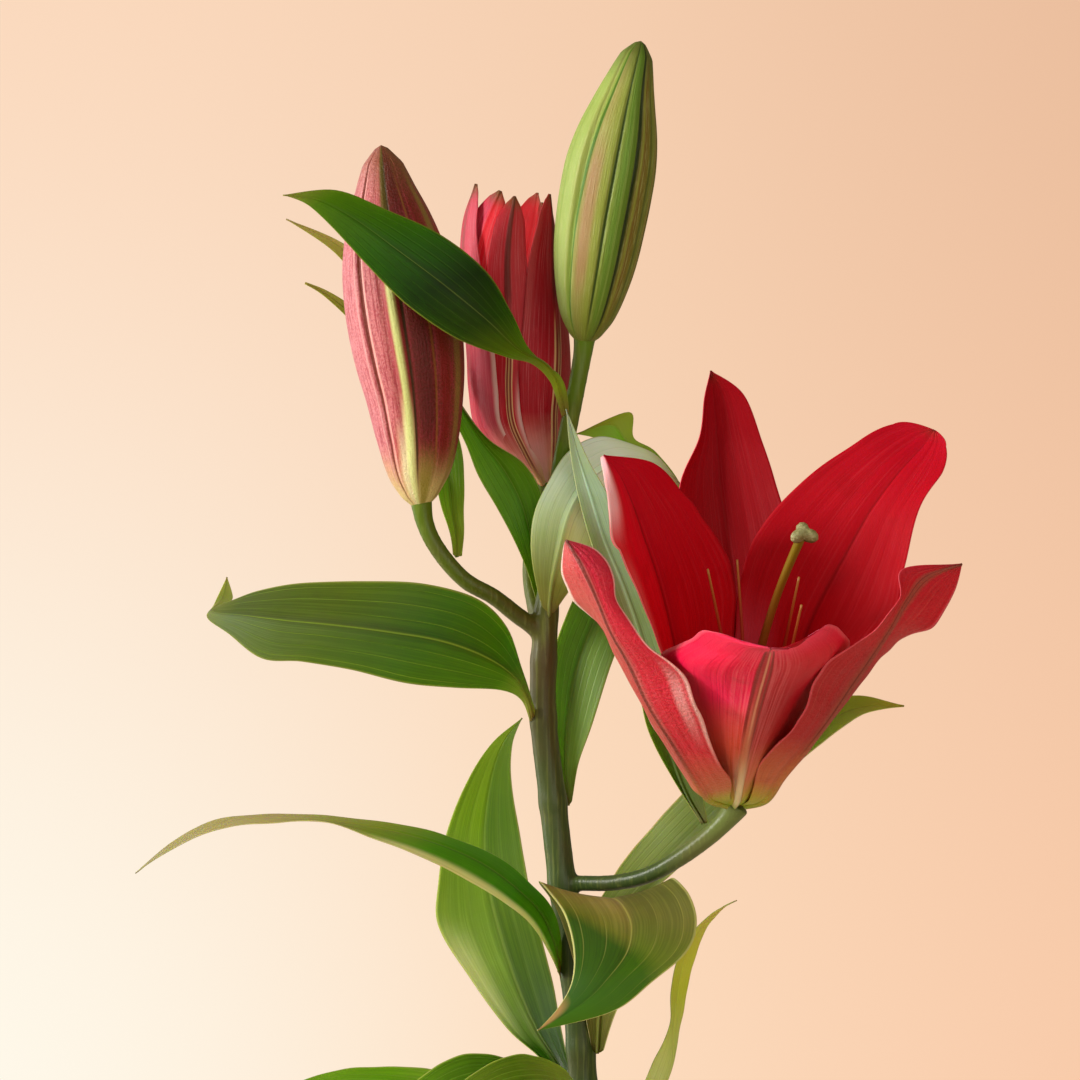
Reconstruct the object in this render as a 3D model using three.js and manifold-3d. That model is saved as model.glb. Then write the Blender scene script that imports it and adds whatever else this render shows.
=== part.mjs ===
// Oriental lily in a plain bottle vase: one flowering stem with an open flower, three buds and its leaves.
// All sizes in millimetres. The vase's underside is centred on the origin, +Z is up, and the front is
// towards -Y.
import * as THREE from 'three';
import { mergeVertices } from 'three/addons/utils/BufferGeometryUtils.js';
import Module from 'manifold-3d';

// Vase and water
const VASE_HEIGHT = 210;
const VASE_FLOOR = 8;
const VASE_SIDES = 30;
const VASE_OUTSIDE = [[42, 0], [43.6, 2], [49.4, 24], [54.4, 48], [56, 72], [53.2, 96], [44.8, 120],
  [33.4, 144], [25.2, 164], [22.6, 182], [23.4, 198], [26.4, 207.6]];
const VASE_INSIDE = [[21.6, 207.2], [18.1, 196], [18, 182], [20.4, 164], [28.6, 144], [40, 120], [48.4, 96],
  [51.2, 72], [49.6, 48], [44.6, 24], [37, 9.4]];
const WATER_LEVEL = 150;

// Space left between pieces that touch
const GAP = 0.3;

// Stem and flower stalks: centre lines as X, Y, Z and radius
const STEM_SIDES = 10;
const MAIN_STEM = [[13, 0, 4, 4.9], [6, 0, 60, 4.9], [-1, 0, 110, 4.8], [-8.5, 0, 165, 4.7],
  [-12.9, 0, 200, 4.7], [-18.2, 0, 270, 4.6], [-21, 0, 305, 4.6], [-25, 0, 334, 4.5], [-28, 0, 360, 4.4],
  [-31, 0, 387, 4.3], [-30.4, 0, 412, 4.1], [-29.2, 2, 430, 3.5], [-27.4, 3, 452, 3.1],
  [-24.2, 2, 472, 3], [-20.6, 0, 490, 2.9], [-18.4, 0, 502, 3.1], [-17.6, 0, 509, 3.8]];
const LEFT_STALK = [[-28.6, 0, 408, 2.8], [-33.6, -1, 414.4, 2.8], [-39.6, -3, 419, 2.8], [-47, -6, 424.8, 2.7],
  [-56, -8, 430, 2.7], [-64, -9, 439, 2.7], [-68.6, -9, 448, 2.9], [-70.2, -9, 458, 3.8]];
const MIDDLE_STALK = [[-30, 1, 402, 3], [-33, 6, 418, 2.7], [-35.4, 14, 432, 2.4], [-34, 21, 446, 2.4],
  [-31.4, 25, 457, 2.7], [-30.4, 26, 466, 3.4]];
const FLOWER_STALK = [[-27, 0, 332, 2.6], [-20, -2, 333, 2.6], [-9, -8, 333.4, 2.6], [2, -14, 336, 2.7],
  [12, -19, 341.6, 2.8], [21, -23, 348.4, 3], [27.4, -25, 354.6, 3.4], [30.6, -26, 359, 4.4]];

// Open flower: where its parts spring from, the way it points, and its widened base
const FLOWER_BASE = new THREE.Vector3(31, -26, 359.5);
const FLOWER_AXIS = new THREE.Vector3(0.206, -0.5, 0.84).normalize();
const RECEPTACLE = [[0, -4], [3.4, -4], [4.4, -1.6], [4.6, 0.6], [3.6, 2.2], [0, 3]];
const STYLE = [[31, -26, 359.5, 2.2], [31.8, -28.6, 364, 2.6], [33, -35, 377, 2.5], [34, -41, 389, 1.7],
  [36.6, -50, 406, 1.4], [42.2, -61, 426, 1.4], [49.2, -72, 443.8, 1.9]];
const STIGMA_LOBE = 2.4;
const FILAMENT_RADIUS = 0.8;
// Filaments: the turn around the flower's axis where each one starts, and where it ends
const FILAMENTS = [[160, 20.5, -55, 433.7], [115, 30, -42, 436.6], [50, 49, -57, 431.2],
  [10, 49.6, -62, 422.5], [300, 42, -88, 401], [230, 25, -86, 402]];

// Tepals and the broad leaves: stations from base to tip, each with the left margin, midrib and right
// margin as they lie on the upper (inner) face, then how sharp the midrib's fold is (0 round, 1 sharp)
// and the edge waves as height, count and phase
const TEPALS = {
  tepal_outer_back: {
    stations: [
      [[28, -20, 359.3], [29.3, -18, 359.2], [30.9, -20, 359.3]],
      [[25.1, -20, 363.1], [30, -15, 363.9], [35, -20, 363.1]],
      [[22.2, -25, 371.5], [30.9, -17, 372.2], [38.6, -25, 371.5]],
      [[18.6, -30, 389.1], [31.1, -22, 390.5], [42.3, -30, 389.1]],
      [[15.5, -28, 408], [30.9, -20, 409.5], [45.8, -28, 408]],
      [[13, -25, 427], [30, -17, 427.5], [47.5, -25, 427]],
      [[11.5, -21, 444.4], [27.5, -13, 446], [47.3, -21, 443.8]],
      [[12.8, -17, 461.2], [25.4, -10, 461.9], [43, -17, 460.6]],
      [[18.9, -14, 475.6], [24.4, -9, 475.6], [38.6, -14, 474.3]],
      [[20.5, -14, 488.3], [23.4, -11, 488], [32.6, -14, 489.3]],
      [[22.4, -14, 496.6]],
    ],
    crease: 0.3, wave: [0.5, 2, 0.4],
  },
  tepal_outer_right: {
    stations: [
      [[33.9, -26, 359.5], [32.8, -29, 359.3], [31.5, -31, 359.4]],
      [[41.2, -25, 363.3], [39.3, -36, 361.4], [33.8, -42, 361.6]],
      [[47.7, -28, 371], [44.3, -46, 369], [36, -53, 371.4]],
      [[55, -36, 380], [51.2, -56, 378], [42.5, -65, 378.9]],
      [[62.9, -44, 390], [58.1, -65, 387.6], [49.3, -77, 388.8]],
      [[69.2, -52, 399.6], [65, -72, 398], [52.3, -87, 400.2]],
      [[75.4, -60, 408.1], [70.9, -79, 407.2], [59.9, -91, 407.3]],
      [[82.6, -68, 412.9], [76.2, -84, 415.9], [71.2, -93, 415.4]],
      [[90.3, -75, 416.4], [81, -87, 424.3], [78.6, -94, 424.9]],
      [[96.2, -81, 426.7], [87.2, -88, 431.4], [79.9, -91, 433.9]],
      [[98.4, -86, 435.4]],
    ],
    crease: 0.35, wave: [0.5, 2.5, 1.4],
  },
  tepal_outer_left: {
    stations: [
      [[28.9, -33, 359.8], [27.4, -31, 359.4], [26.2, -29, 359.3]],
      [[27.7, -46, 362.1], [21.3, -38, 361.5], [19.5, -30, 361.9]],
      [[27.7, -57, 367.8], [18.2, -48, 365.9], [14.7, -36, 367.4]],
      [[22.7, -73, 376.9], [10.4, -65, 378.9], [6.3, -50, 379.8]],
      [[17, -91, 389.1], [2.4, -78, 391.6], [-1.1, -62, 393.2]],
      [[12.3, -99, 401.3], [-4.2, -89, 405.1], [-8.1, -73, 406.5]],
      [[2.4, -101, 409.6], [-9.9, -98, 415.1], [-13.7, -82, 417.1]],
      [[-8.1, -105, 423.2], [-13.9, -105, 424.4], [-21.5, -90, 424.9]],
      [[-9.3, -107, 432.1], [-17.9, -109, 432.7], [-25.2, -97, 432.3]],
      [[-14.8, -105, 439.7], [-21, -108, 437.9], [-24.9, -102, 439.4]],
      [[-24, -106, 442.8]],
    ],
    crease: 0.35, wave: [0.5, 2.5, 0],
  },
  tepal_inner_right: {
    stations: [
      [[31.4, -22, 359.4], [32.7, -23, 359.4], [33.2, -26, 359.5]],
      [[33.1, -20, 363.8], [37.7, -24, 364.5], [39.4, -33, 363.5]],
      [[33.9, -26, 373.1], [41.6, -31, 374.2], [45.4, -42, 373]],
      [[31.8, -33, 392.3], [45.2, -37, 392.4], [54.2, -50, 391.1]],
      [[30.2, -34, 411.2], [49.9, -39, 408.1], [63.8, -54, 406.8]],
      [[30.5, -34, 427], [55.2, -41, 421.7], [74.4, -54, 420.3]],
      [[35.9, -34, 444.4], [63.1, -41, 436.5], [80.2, -52, 435.9]],
      [[50, -35, 460.2], [71.6, -41, 451.6], [87, -48, 452.8]],
      [[65.6, -33, 472.2], [80.5, -38, 463.6], [94.8, -42, 464.8]],
      [[79.6, -29, 479.5], [88.6, -33, 472.2], [96, -36, 472.4]],
      [[92.6, -30, 477.6]],
    ],
    crease: 0.3, wave: [0.5, 2.5, 2],
  },
  tepal_inner_left: {
    stations: [
      [[27.2, -28, 359.3], [26.3, -25, 359.5], [27.3, -21, 359.3]],
      [[22, -35, 363.3], [19.6, -27, 363.7], [22.9, -22, 364.1]],
      [[18.3, -44, 372.1], [16.7, -31, 372.3], [24.3, -28, 373.2]],
      [[12.8, -55, 387.1], [14.6, -39, 388.3], [26.1, -35, 392.3]],
      [[7, -65, 403.8], [11.6, -47, 404.2], [28.9, -35, 411.2]],
      [[2.2, -71, 418.5], [8.4, -54, 419], [30.5, -34, 427]],
      [[-3.4, -75, 431.9], [4.9, -59, 431.6], [25.4, -35, 440.3]],
      [[-8.7, -78, 442.2], [0.8, -62, 443.4], [19.3, -39, 450]],
      [[-7.8, -77, 453.3], [-3.3, -64, 455], [12.9, -45, 458.2]],
      [[-9.6, -74, 463], [-7.4, -66, 463.7], [3.4, -56, 466.9]],
      [[-12.1, -67, 469.3]],
    ],
    crease: 0.3, wave: [0.5, 3, 0],
  },
  tepal_inner_front: {
    stations: [
      [[31.5, -31, 359.4], [29.6, -32, 359.4], [28, -31, 359.4]],
      [[35.1, -38, 362.8], [30.2, -45, 362.4], [25.4, -38, 362.4]],
      [[44.7, -43, 378.3], [31.3, -63, 374.2], [18, -45, 376.8]],
      [[53.3, -51, 391.7], [32.9, -85, 385.9], [11.8, -54, 388.6]],
      [[59.4, -63, 401.6], [34.5, -106, 395.6], [7.9, -67, 398.6]],
      [[63.8, -79, 410.9], [35.8, -125, 402.7], [5.4, -87, 406.7]],
      [[59.3, -99, 415.8], [36.6, -138, 407.1], [13.4, -103, 412.1]],
      [[54, -118, 416.3], [37, -146, 409.4], [19.1, -122, 415.1]],
      [[45.7, -138, 410.5], [37.1, -152, 410], [28.4, -140, 412.3]],
      [[37.3, -157, 410.4]],
    ],
    crease: 0.3, wave: [0.5, 2.5, 1],
  },
};

// Closed buds: centre line, radii at even steps, turn of the first midrib, depth of seams, height of ribs
const BUDS = {
  bud_green_top: {
    route: [[-18.2, 0, 504.2], [-16.6, -1, 516.4], [-14.7, -2, 529.1], [-12.5, -2, 543.5],
      [-9.3, -3, 561.1], [-5.5, -3, 579.6], [-2.6, -3, 591.7], [0.3, -2, 602.4]],
    radii: [3, 8.6, 11.6, 13.4, 14.2, 14.5, 14.2, 12.6, 9.8, 6.2, 0.5],
    turn: -70, seam: 0.7, rib: 0.5,
  },
  bud_pink_left: {
    route: [[-69.9, -9, 451.7], [-70.6, -9, 461.9], [-70.9, -10, 474.7], [-72, -10, 490],
      [-73.8, -10, 503], [-77.9, -9, 529.2], [-81.1, -8, 552.5], [-82.7, -8, 568.8]],
    radii: [3.4, 9.8, 13.2, 15.4, 17.3, 18.2, 18, 16.6, 13.4, 8.2, 0.5],
    turn: -72, seam: 1, rib: 1.2,
  },
};
// Opening bud: centre line, radii at even steps, how far up its solid core goes, half-widths of a lobe at
// even steps, and for each lobe the turn at its foot and its tip, how far the tip leans out, its place
// in the bud's thickness and its share of the width
const OPENING_BUD = {
  route: [[-30.4, 26, 460.9], [-33.9, 27, 470.3], [-38.1, 28, 483.3], [-39.3, 28, 506.5],
    [-42.2, 28, 536.6], [-41.1, 28, 557]],
  radii: [3, 9.4, 14.2, 15.9, 16.3, 16.2, 16, 15.7, 15.3, 14.2, 12.2],
  core: 0.72,
  widths: [2, 6.4, 10, 12, 12.6, 12, 10.4, 7.6, 4, 0.4],
  lobes: [[-47, -8, 1, 1.02, 1.15], [-103, -80, 1, 0.97, 1.1], [150, 180, 1.04, 0.97, 1],
    [-155, -116, 0.92, 0.88, 0.9], [-75, -38, 0.96, 0.85, 0.8], [50, 90, 0.8, 0.93, 1.1]],
};

// Leaves: stations as above, or else the centre line from base to tip, the way the upper face looks at
// even steps, half-widths at even steps, fold at the midrib, curl of the margins, and edge waves
const LEAVES = {
  bract_top: {
    stations: [
      [[-25, -2, 482.1], [-23.7, -3, 482.8], [-22.7, -3, 483.7]],
      [[-26.9, -8, 488.1], [-25.3, -10, 488.7], [-23.4, -8, 489.7]],
      [[-29.1, -14, 493.7], [-27.2, -16, 494.6], [-25.3, -13, 494.7]],
      [[-33.9, -20, 498], [-31, -22, 498.9], [-29.1, -18, 497.8]],
      [[-43.1, -30, 500.7], [-39, -31, 503.2], [-35.8, -27, 503.9]],
      [[-58.8, -37, 506.5], [-48.7, -37, 512.2], [-41.2, -31, 514.9]],
      [[-74.5, -42, 517.1], [-62.5, -41, 523.4], [-48.7, -35, 527.4]],
      [[-87, -44, 529.9], [-76.7, -43, 534], [-63.5, -38, 539.2]],
      [[-96.8, -44, 540.6], [-90.2, -43, 543.8], [-80.8, -39, 547.1]],
      [[-105, -42, 548.2], [-101.8, -42, 549.8], [-96.6, -39, 553.1]],
      [[-113, -39, 551.5]],
    ],
    crease: 0.4, wave: [0.3, 2, 0],
  },
  bract_flower: {
    stations: [
      [[21.2, -24, 353.4], [20, -23, 352.8], [18.7, -23, 353.4]],
      [[18.7, -24, 366.7], [13.7, -20, 364.1], [9.9, -21, 367.3]],
      [[15.5, -24, 381], [8.6, -19, 378.7], [2.6, -21, 381.6]],
      [[11.7, -24, 398.4], [4.5, -18, 395.1], [-0.9, -21, 395.2]],
      [[6.7, -23, 414.3], [0.7, -18, 411], [-5.3, -20, 410.1]],
      [[-0.3, -22, 430.1], [-5, -18, 427.6], [-10.7, -20, 426.3]],
      [[-6, -21, 444.4], [-11.3, -17, 442.8], [-16.1, -19, 442.8]],
      [[-10.4, -19, 457.1], [-15.8, -16, 457.1], [-20.2, -17, 458.1]],
      [[-16.7, -17, 468.5], [-19.9, -15, 469.8], [-22.5, -16, 471.4]],
      [[-23.7, -15, 484.5]],
    ],
    crease: 0.5, wave: [0.2, 2, 0],
  },
  bract_fork: {
    stations: [
      [[-27.5, -2, 419.8], [-29.1, -2.5, 418.5], [-30.7, -2, 419.8]],
      [[-22.7, -6, 426.5], [-28.2, -7, 428.1], [-33.3, -6, 429.4]],
      [[-15.4, -9, 435.8], [-25.6, -12, 440.3], [-34.9, -10, 441.2]],
      [[-9.7, -8, 444.4], [-22.8, -12, 450.8], [-33.6, -11, 452]],
      [[-3.9, -4, 450.8], [-17.6, -8, 460], [-29.1, -9, 461.6]],
      [[1.6, 2, 454.6], [-10.9, -2, 465.5], [-23.1, -4, 470.9]],
      [[5.9, 7, 456.9], [-3.2, 4, 468.1], [-13.7, 2, 475.8]],
      [[9.1, 11, 458.5], [4, 9, 467.5], [-3.1, 8, 473.6]],
      [[11.8, 14, 459.9], [9.2, 13, 464.7], [5.6, 12, 469.8]],
      [[13.1, 15, 460.8]],
    ],
    crease: 0.35, wave: [0.3, 2, 0],
  },
  leaf_back_upright: {
    stations: [
      [[-23.7, 3, 359.2], [-22.7, 4, 357.9], [-21.7, 5, 359.1]],
      [[-26.2, 6, 371.6], [-23.7, 9, 369.6], [-19.8, 8, 370.6]],
      [[-27.8, 9, 388.2], [-23, 13, 385.5], [-15.3, 10, 383.4]],
      [[-27.5, 12, 405.8], [-19.8, 16, 402.5], [-9.2, 13, 402.6]],
      [[-23, 15, 419.6], [-13.9, 19, 417.7], [-3.7, 16, 415.4]],
      [[-16.5, 18, 433.1], [-6.8, 22, 431.5], [4.1, 20, 429.9]],
      [[-10.7, 21, 446], [-1, 25, 446], [10.6, 24, 444.4]],
      [[-5.5, 23, 455.7], [2.9, 27, 458.3], [14.3, 27, 458.3]],
      [[-3.6, 24, 464.8], [1.6, 27, 468.7], [5.9, 28, 471]],
      [[-7.4, 24, 471.2], [-4.2, 26, 474.8], [-1.6, 27, 475.8]],
      [[-13.3, 24, 475.4], [-9.1, 25, 480], [-3.2, 26, 484.2]],
      [[-20.1, 22, 477]],
    ],
    crease: 0.45, wave: [0.4, 2, 1],
  },
  leaf_slim_left: {
    stations: [
      [[-33, 1, 423], [-31.7, 2, 421.7], [-30.4, 3, 423.3]],
      [[-36.2, 3, 433.2], [-33.3, 4, 433.2], [-31, 4, 434.8]],
      [[-40.3, 5, 442.8], [-35.2, 6, 444.4], [-31, 5, 446.6]],
      [[-45.8, 7, 453.1], [-38.4, 8, 455.6], [-31.7, 7, 457.9]],
      [[-51.9, 9, 463.7], [-43.9, 11, 465.9], [-37.5, 9, 467.5]],
      [[-56.4, 12, 475], [-52, 14, 476.3], [-48.1, 12, 474.6]],
      [[-64.2, 14, 489.5], [-60.3, 16, 490.1], [-56.5, 14, 484.6]],
      [[-75.5, 16, 505.6], [-71.6, 18, 506.3], [-67.4, 16, 503.3]],
      [[-87.4, 18, 521.8], [-84.2, 19, 523.4], [-80.3, 18, 522.1]],
      [[-98.4, 19, 535.7], [-96.2, 20, 537.3], [-93.9, 19, 537.3]],
      [[-113.9, 20, 546.3]],
    ],
    crease: 0.5, wave: [0.3, 2, 0],
  },
  bract_left_bud: {
    route: [[-58.5, -7, 437.7], [-58.8, -3, 444.4], [-60.2, 2, 452.4], [-61.2, 6, 462],
      [-62.8, 9, 472.3], [-67.4, 11, 484.6], [-74.4, 11, 496.8], [-83.4, 11, 507.1], [-93.1, 11, 516.1],
      [-101.1, 11, 522.2], [-107.5, 10, 525.4]],
    facing: [[0.3, -0.9, 0.2], [0.1, -1, 0.1], [-0.1, -0.9, 0.3], [-0.2, -0.9, 0.4]],
    widths: [1.6, 3, 4.6, 5.4, 5.6, 5.4, 5, 4, 2.4, 1.4, 0.4],
    fold: [0.3, 0.2, 0.1], curl: [0.3, 0.2, 0.1], wave: [0.3, 2, 0],
  },
  leaf_broad_left: {
    stations: [
      [[-35.2, -2, 384.6], [-34.2, -4, 385.9], [-33.3, -3, 387.8]],
      [[-38.1, -9, 391.8], [-36.1, -11, 392.8], [-35.2, -8, 394]],
      [[-44.7, -18, 395.1], [-40.6, -17, 399.9], [-37.7, -12, 402.4]],
      [[-58.9, -27, 396], [-49.7, -24, 406], [-42.2, -17, 414.8]],
      [[-74.6, -34, 397.7], [-63, -30, 410.9], [-51.7, -22, 424.1]],
      [[-91.2, -38, 401.8], [-79.3, -35, 413.8], [-68.7, -27, 428.9]],
      [[-106.9, -41, 404.4], [-96.6, -39, 416], [-88.3, -31, 429.8]],
      [[-119.5, -42, 405.4], [-112.6, -41, 417.6], [-107.8, -34, 429.2]],
      [[-129.9, -41, 413.2], [-125.5, -40, 419.2], [-121.6, -35, 426.7]],
      [[-136.9, -39, 418.5], [-135.4, -37, 420.4], [-131.7, -34, 422.9]],
      [[-134.9, -33, 422.6], [-132.5, -31, 424.2], [-129.1, -30, 424.5]],
      [[-131, -28, 431.1]],
    ],
    crease: 0.4, wave: [0.3, 2, 0],
  },
  leaf_long_left: {
    stations: [
      [[-25.3, -4, 302.9], [-25.3, -2, 304.7], [-24.6, -2, 306.9]],
      [[-28.5, -12, 310.3], [-26.9, -8, 313.3], [-25.6, -5, 317.6]],
      [[-34.2, -21, 320], [-31, -14, 323.5], [-28.5, -8, 326.4]],
      [[-42.4, -30, 327.7], [-38, -21, 331.4], [-35.2, -13, 333.9]],
      [[-54.1, -38, 335.7], [-48.8, -28, 340], [-44.7, -19, 341.8]],
      [[-68.2, -44, 342.8], [-62.3, -33, 346.5], [-57.4, -24, 347.4]],
      [[-83.8, -47, 348.9], [-77.7, -36, 351], [-72.5, -28, 352]],
      [[-99.5, -48, 354], [-93.5, -38, 353.9], [-88.9, -31, 354.9]],
      [[-113.7, -46, 354.2], [-109.2, -38, 355.2], [-105.3, -32, 356.2]],
      [[-128, -42, 353.1], [-124.7, -36, 354.8], [-121.1, -31, 356.2]],
      [[-140.9, -35, 349.1], [-138.5, -31, 351.5], [-135.8, -28, 353.9]],
      [[-152.2, -28, 342.8], [-150.8, -26, 344.6], [-149.2, -25, 346.8]],
      [[-160.4, -23, 337.2]],
    ],
    crease: 0.4, wave: [0.2, 2, 0],
  },
  leaf_tall_left: {
    stations: [
      [[-23.7, 5, 265.8], [-21.1, 4, 264.6], [-19.2, 5, 265.8]],
      [[-32, 11, 276.3], [-26.5, 12, 275], [-23, 9, 275.8]],
      [[-42.6, 16, 285.6], [-33, 17, 284.9], [-25.6, 12, 286.9]],
      [[-55.2, 21, 302.1], [-39.4, 21, 299.2], [-27.8, 15, 299.5]],
      [[-65, 24, 318.4], [-44.9, 24, 315.2], [-31.4, 17, 313.9]],
      [[-64.6, 25, 332.9], [-48.8, 25, 331.3], [-35.5, 17, 330.7]],
      [[-61.7, 25, 349.7], [-50.1, 25, 346.5], [-38.4, 18, 346.8]],
      [[-55.2, 22, 365.6], [-48.1, 22, 363.7], [-41.3, 17, 363.9]],
      [[-47.5, 18, 377.4], [-44.2, 17, 376.8], [-41, 15, 376.8]],
      [[-37.8, 13, 385.5]],
    ],
    crease: 0.45, wave: [0.5, 2, 0],
  },
  leaf_curled_front: {
    stations: [
      [[-11.6, -5, 279.9], [-13.5, -3, 278.8], [-15.4, -3, 279.8]],
      [[-8.1, -9, 291.3], [-12.8, -6, 292.8], [-18.3, -6, 294.4]],
      [[-0.8, -12, 307.5], [-11.9, -9, 308.9], [-21.8, -8, 310.4]],
      [[6.2, -16, 324.5], [-11, -12, 323.4], [-26.9, -10, 325.5]],
      [[9.2, -24, 335.4], [-10.1, -20, 329.2], [-32.3, -17, 333.8]],
      [[14.7, -33, 331.3], [-6.4, -30, 328], [-29.1, -25, 331.3]],
      [[17.4, -40, 322.8], [-3.3, -38, 321.8], [-24.4, -34, 324.7]],
      [[14.2, -45, 313.6], [-4.6, -44, 313.6], [-21.6, -41, 314.4]],
      [[3.1, -49, 304.1], [-10.4, -50, 305.8], [-22, -47, 304.3]],
      [[-9.4, -52, 294.9], [-18.5, -53, 297.8], [-26.4, -51, 296.1]],
      [[-32.9, -54, 289.1]],
    ],
    crease: 0.25, wave: [0.2, 2, 1], rows: 18,
  },
  leaf_back_right: {
    route: [[-20.5, 1, 314.7], [-15.3, 5, 317.8], [-8.2, 9, 323.7], [1.8, 14, 334], [14.8, 20, 346.7],
      [29.4, 26, 360.4], [45.8, 31, 374.1], [60.4, 34, 383.8], [71.8, 35, 388.6], [86, 32, 389]],
    facing: [[-0.3, -0.7, 0.6], [-0.3, -0.7, 0.6], [-0.2, -0.7, 0.7], [0, -0.6, 0.8]],
    widths: [2, 6, 9.6, 11.4, 11.6, 11, 9, 6, 0.4],
    fold: [0.3, 0.2, 0.1], curl: [0.3, 0.2, 0.1], wave: [0.5, 2, 0],
  },
  leaf_low_right: {
    stations: [
      [[-14.1, 2, 234.6], [-12.1, 3, 233.9], [-10.5, 4, 234.8]],
      [[-8.9, 3, 247.4], [-3.8, 6, 247.1], [-1.2, 9, 248.2]],
      [[-1.9, 3, 261.8], [4.9, 8, 261.4], [6.3, 12, 262.7]],
      [[4.8, 2, 275.6], [10.4, 9, 274.2], [11.1, 13, 275.5]],
      [[9.6, 3, 287.4], [11, 8, 285.5], [13.3, 12, 288.5]],
      [[10, 4, 300.2], [12.6, 8, 299.3], [15.9, 11, 300.4]],
      [[12.9, 4, 310.7], [15.2, 7, 310.6], [18.7, 9, 311.1]],
      [[18.9, 2, 319.2], [20.2, 4, 318.8], [22.2, 6, 319.3]],
      [[25, 0, 324.4], [25.9, 1, 324.4], [26.9, 2, 324.9]],
      [[31, -2, 327.4]],
    ],
    crease: 0.5, wave: [0.2, 2, 0],
  },
  leaf_low_left: {
    route: [[-17.9, -3, 252.3], [-24, -9, 260.4], [-32.6, -17, 267.4], [-43.1, -25, 270.8],
      [-54.7, -32, 269.7], [-66.7, -38, 263.8], [-78.6, -42, 253.4], [-90.2, -44, 238.5]],
    facing: [[-0.4, -0.5, 0.8], [-0.2, -0.5, 0.85], [-0.2, -0.6, 0.8], [-0.5, -0.6, 0.6]],
    widths: [2, 7, 11, 13, 13, 11.4, 8.6, 5, 0.4],
    fold: [0.3, 0.2, 0.1], curl: [0.3, 0.2, 0.1], wave: [0.4, 2, 0],
  },
  leaf_low_front: {
    route: [[-17.3, -4, 244.7], [-16.7, -13, 257.5], [-20, -25, 267.6], [-29.5, -37, 272.6],
      [-42.1, -46, 271.9], [-53.9, -52, 265.4], [-64.9, -55, 251.9], [-73.3, -56, 234.8]],
    facing: [[0, -0.9, 0.4], [-0.1, -0.6, 0.8], [-0.2, -0.6, 0.8], [-0.5, -0.7, 0.5]],
    widths: [2, 6, 9, 10.4, 10.4, 9, 7, 4, 0.4],
    fold: [0.3, 0.2, 0.1], curl: [0.3, 0.2, 0.1], wave: [0.4, 2, 0],
  },
  leaf_low_far_left: {
    route: [[-17.9, -2, 236.6], [-28.8, -3, 247.5], [-48, -3, 257.7], [-70.4, -3, 264.8],
      [-94.4, -2, 267.9], [-113.6, 1, 264.5], [-136.2, 5, 253.6]],
    facing: [[-0.5, -0.4, 0.8], [-0.3, -0.4, 0.9], [0, -0.3, 0.95], [0.2, -0.3, 0.95]],
    widths: [2, 7, 10.6, 12.4, 12.4, 10.8, 8, 4.6, 0.4],
    fold: [0.3, 0.2, 0.1], curl: [0.3, 0.2, 0.1], wave: [0.4, 2, 0],
  },
};

// Colours, roughness
const COLOURS = {
  vase: ['#e9e4da', 0.35],
  water: ['#b9d3d6', 0.1],
  stem: ['#5f6b46', 0.5],
  leaf: ['#3f6a24', 0.45],
  leaf_pale: ['#8fae7c', 0.55],
  bud_green: ['#8ba64a', 0.45],
  bud_pink: ['#b04f58', 0.5],
  bud_red: ['#a5162b', 0.45],
  tepal: ['#b3081d', 0.5],
  pistil: ['#8d8a3c', 0.45],
  stamen: ['#b0392b', 0.45],
};

const { Manifold, Mesh } = await prepareSolids();

async function prepareSolids() {
  const module = await Module();
  module.setup();
  return module;
}

// Closed solid from plain lists of points and triangles
function solidFromLists(points, triangles) {
  return new Manifold(new Mesh({
    numProp: 3,
    vertProperties: new Float32Array(points.flat()),
    triVerts: new Uint32Array(triangles.flat()),
  }));
}

// Closed solid from a three.js geometry
function solidFromGeometry(geometry) {
  const bare = new THREE.BufferGeometry();
  bare.setAttribute('position', geometry.getAttribute('position').clone());
  if (geometry.index) {
    bare.setIndex(geometry.index.clone());
  }
  const merged = mergeVertices(bare, 1e-4);
  const triangles = [];
  const index = merged.index.array;
  for (let i = 0; i < index.length; i += 3) {
    const [a, b, c] = [index[i], index[i + 1], index[i + 2]];
    if (a !== b && b !== c && c !== a) {
      triangles.push([a, b, c]);
    }
  }
  const positions = merged.getAttribute('position');
  const points = [];
  for (let i = 0; i < positions.count; i += 1) {
    points.push([positions.getX(i), positions.getY(i), positions.getZ(i)]);
  }
  return solidFromLists(points, triangles);
}

// The largest of the separate bodies that a cut leaves
function largest(solid) {
  return solid.decompose().sort((a, b) => b.volume() - a.volume())[0];
}

// Value at u (0 to 1) of a list of numbers at even steps
function alongList(values, u) {
  const place = Math.min(Math.max(u, 0), 1) * (values.length - 1);
  const i = Math.min(Math.floor(place), values.length - 2);
  const before = values[Math.max(i - 1, 0)];
  const after = values[Math.min(i + 2, values.length - 1)];
  const t = place - i;
  const slope0 = (values[i + 1] - before) / 2;
  const slope1 = (after - values[i]) / 2;
  const rise = values[i + 1] - values[i];
  return values[i] + t * (slope0 + t * (3 * rise - 2 * slope0 - slope1 + t * (slope0 + slope1 - 2 * rise)));
}

// Vector at t (0 to 1) of a list of vectors at even steps
function alongVectors(vectors, t) {
  const [x, y, z] = [0, 1, 2].map((axis) => alongList(vectors.map((v) => v[axis]), t));
  return new THREE.Vector3(x, y, z).normalize();
}

function curveThrough(points) {
  return new THREE.CatmullRomCurve3(points.map((p) => new THREE.Vector3(p[0], p[1], p[2])), false, 'centripetal');
}

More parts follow.
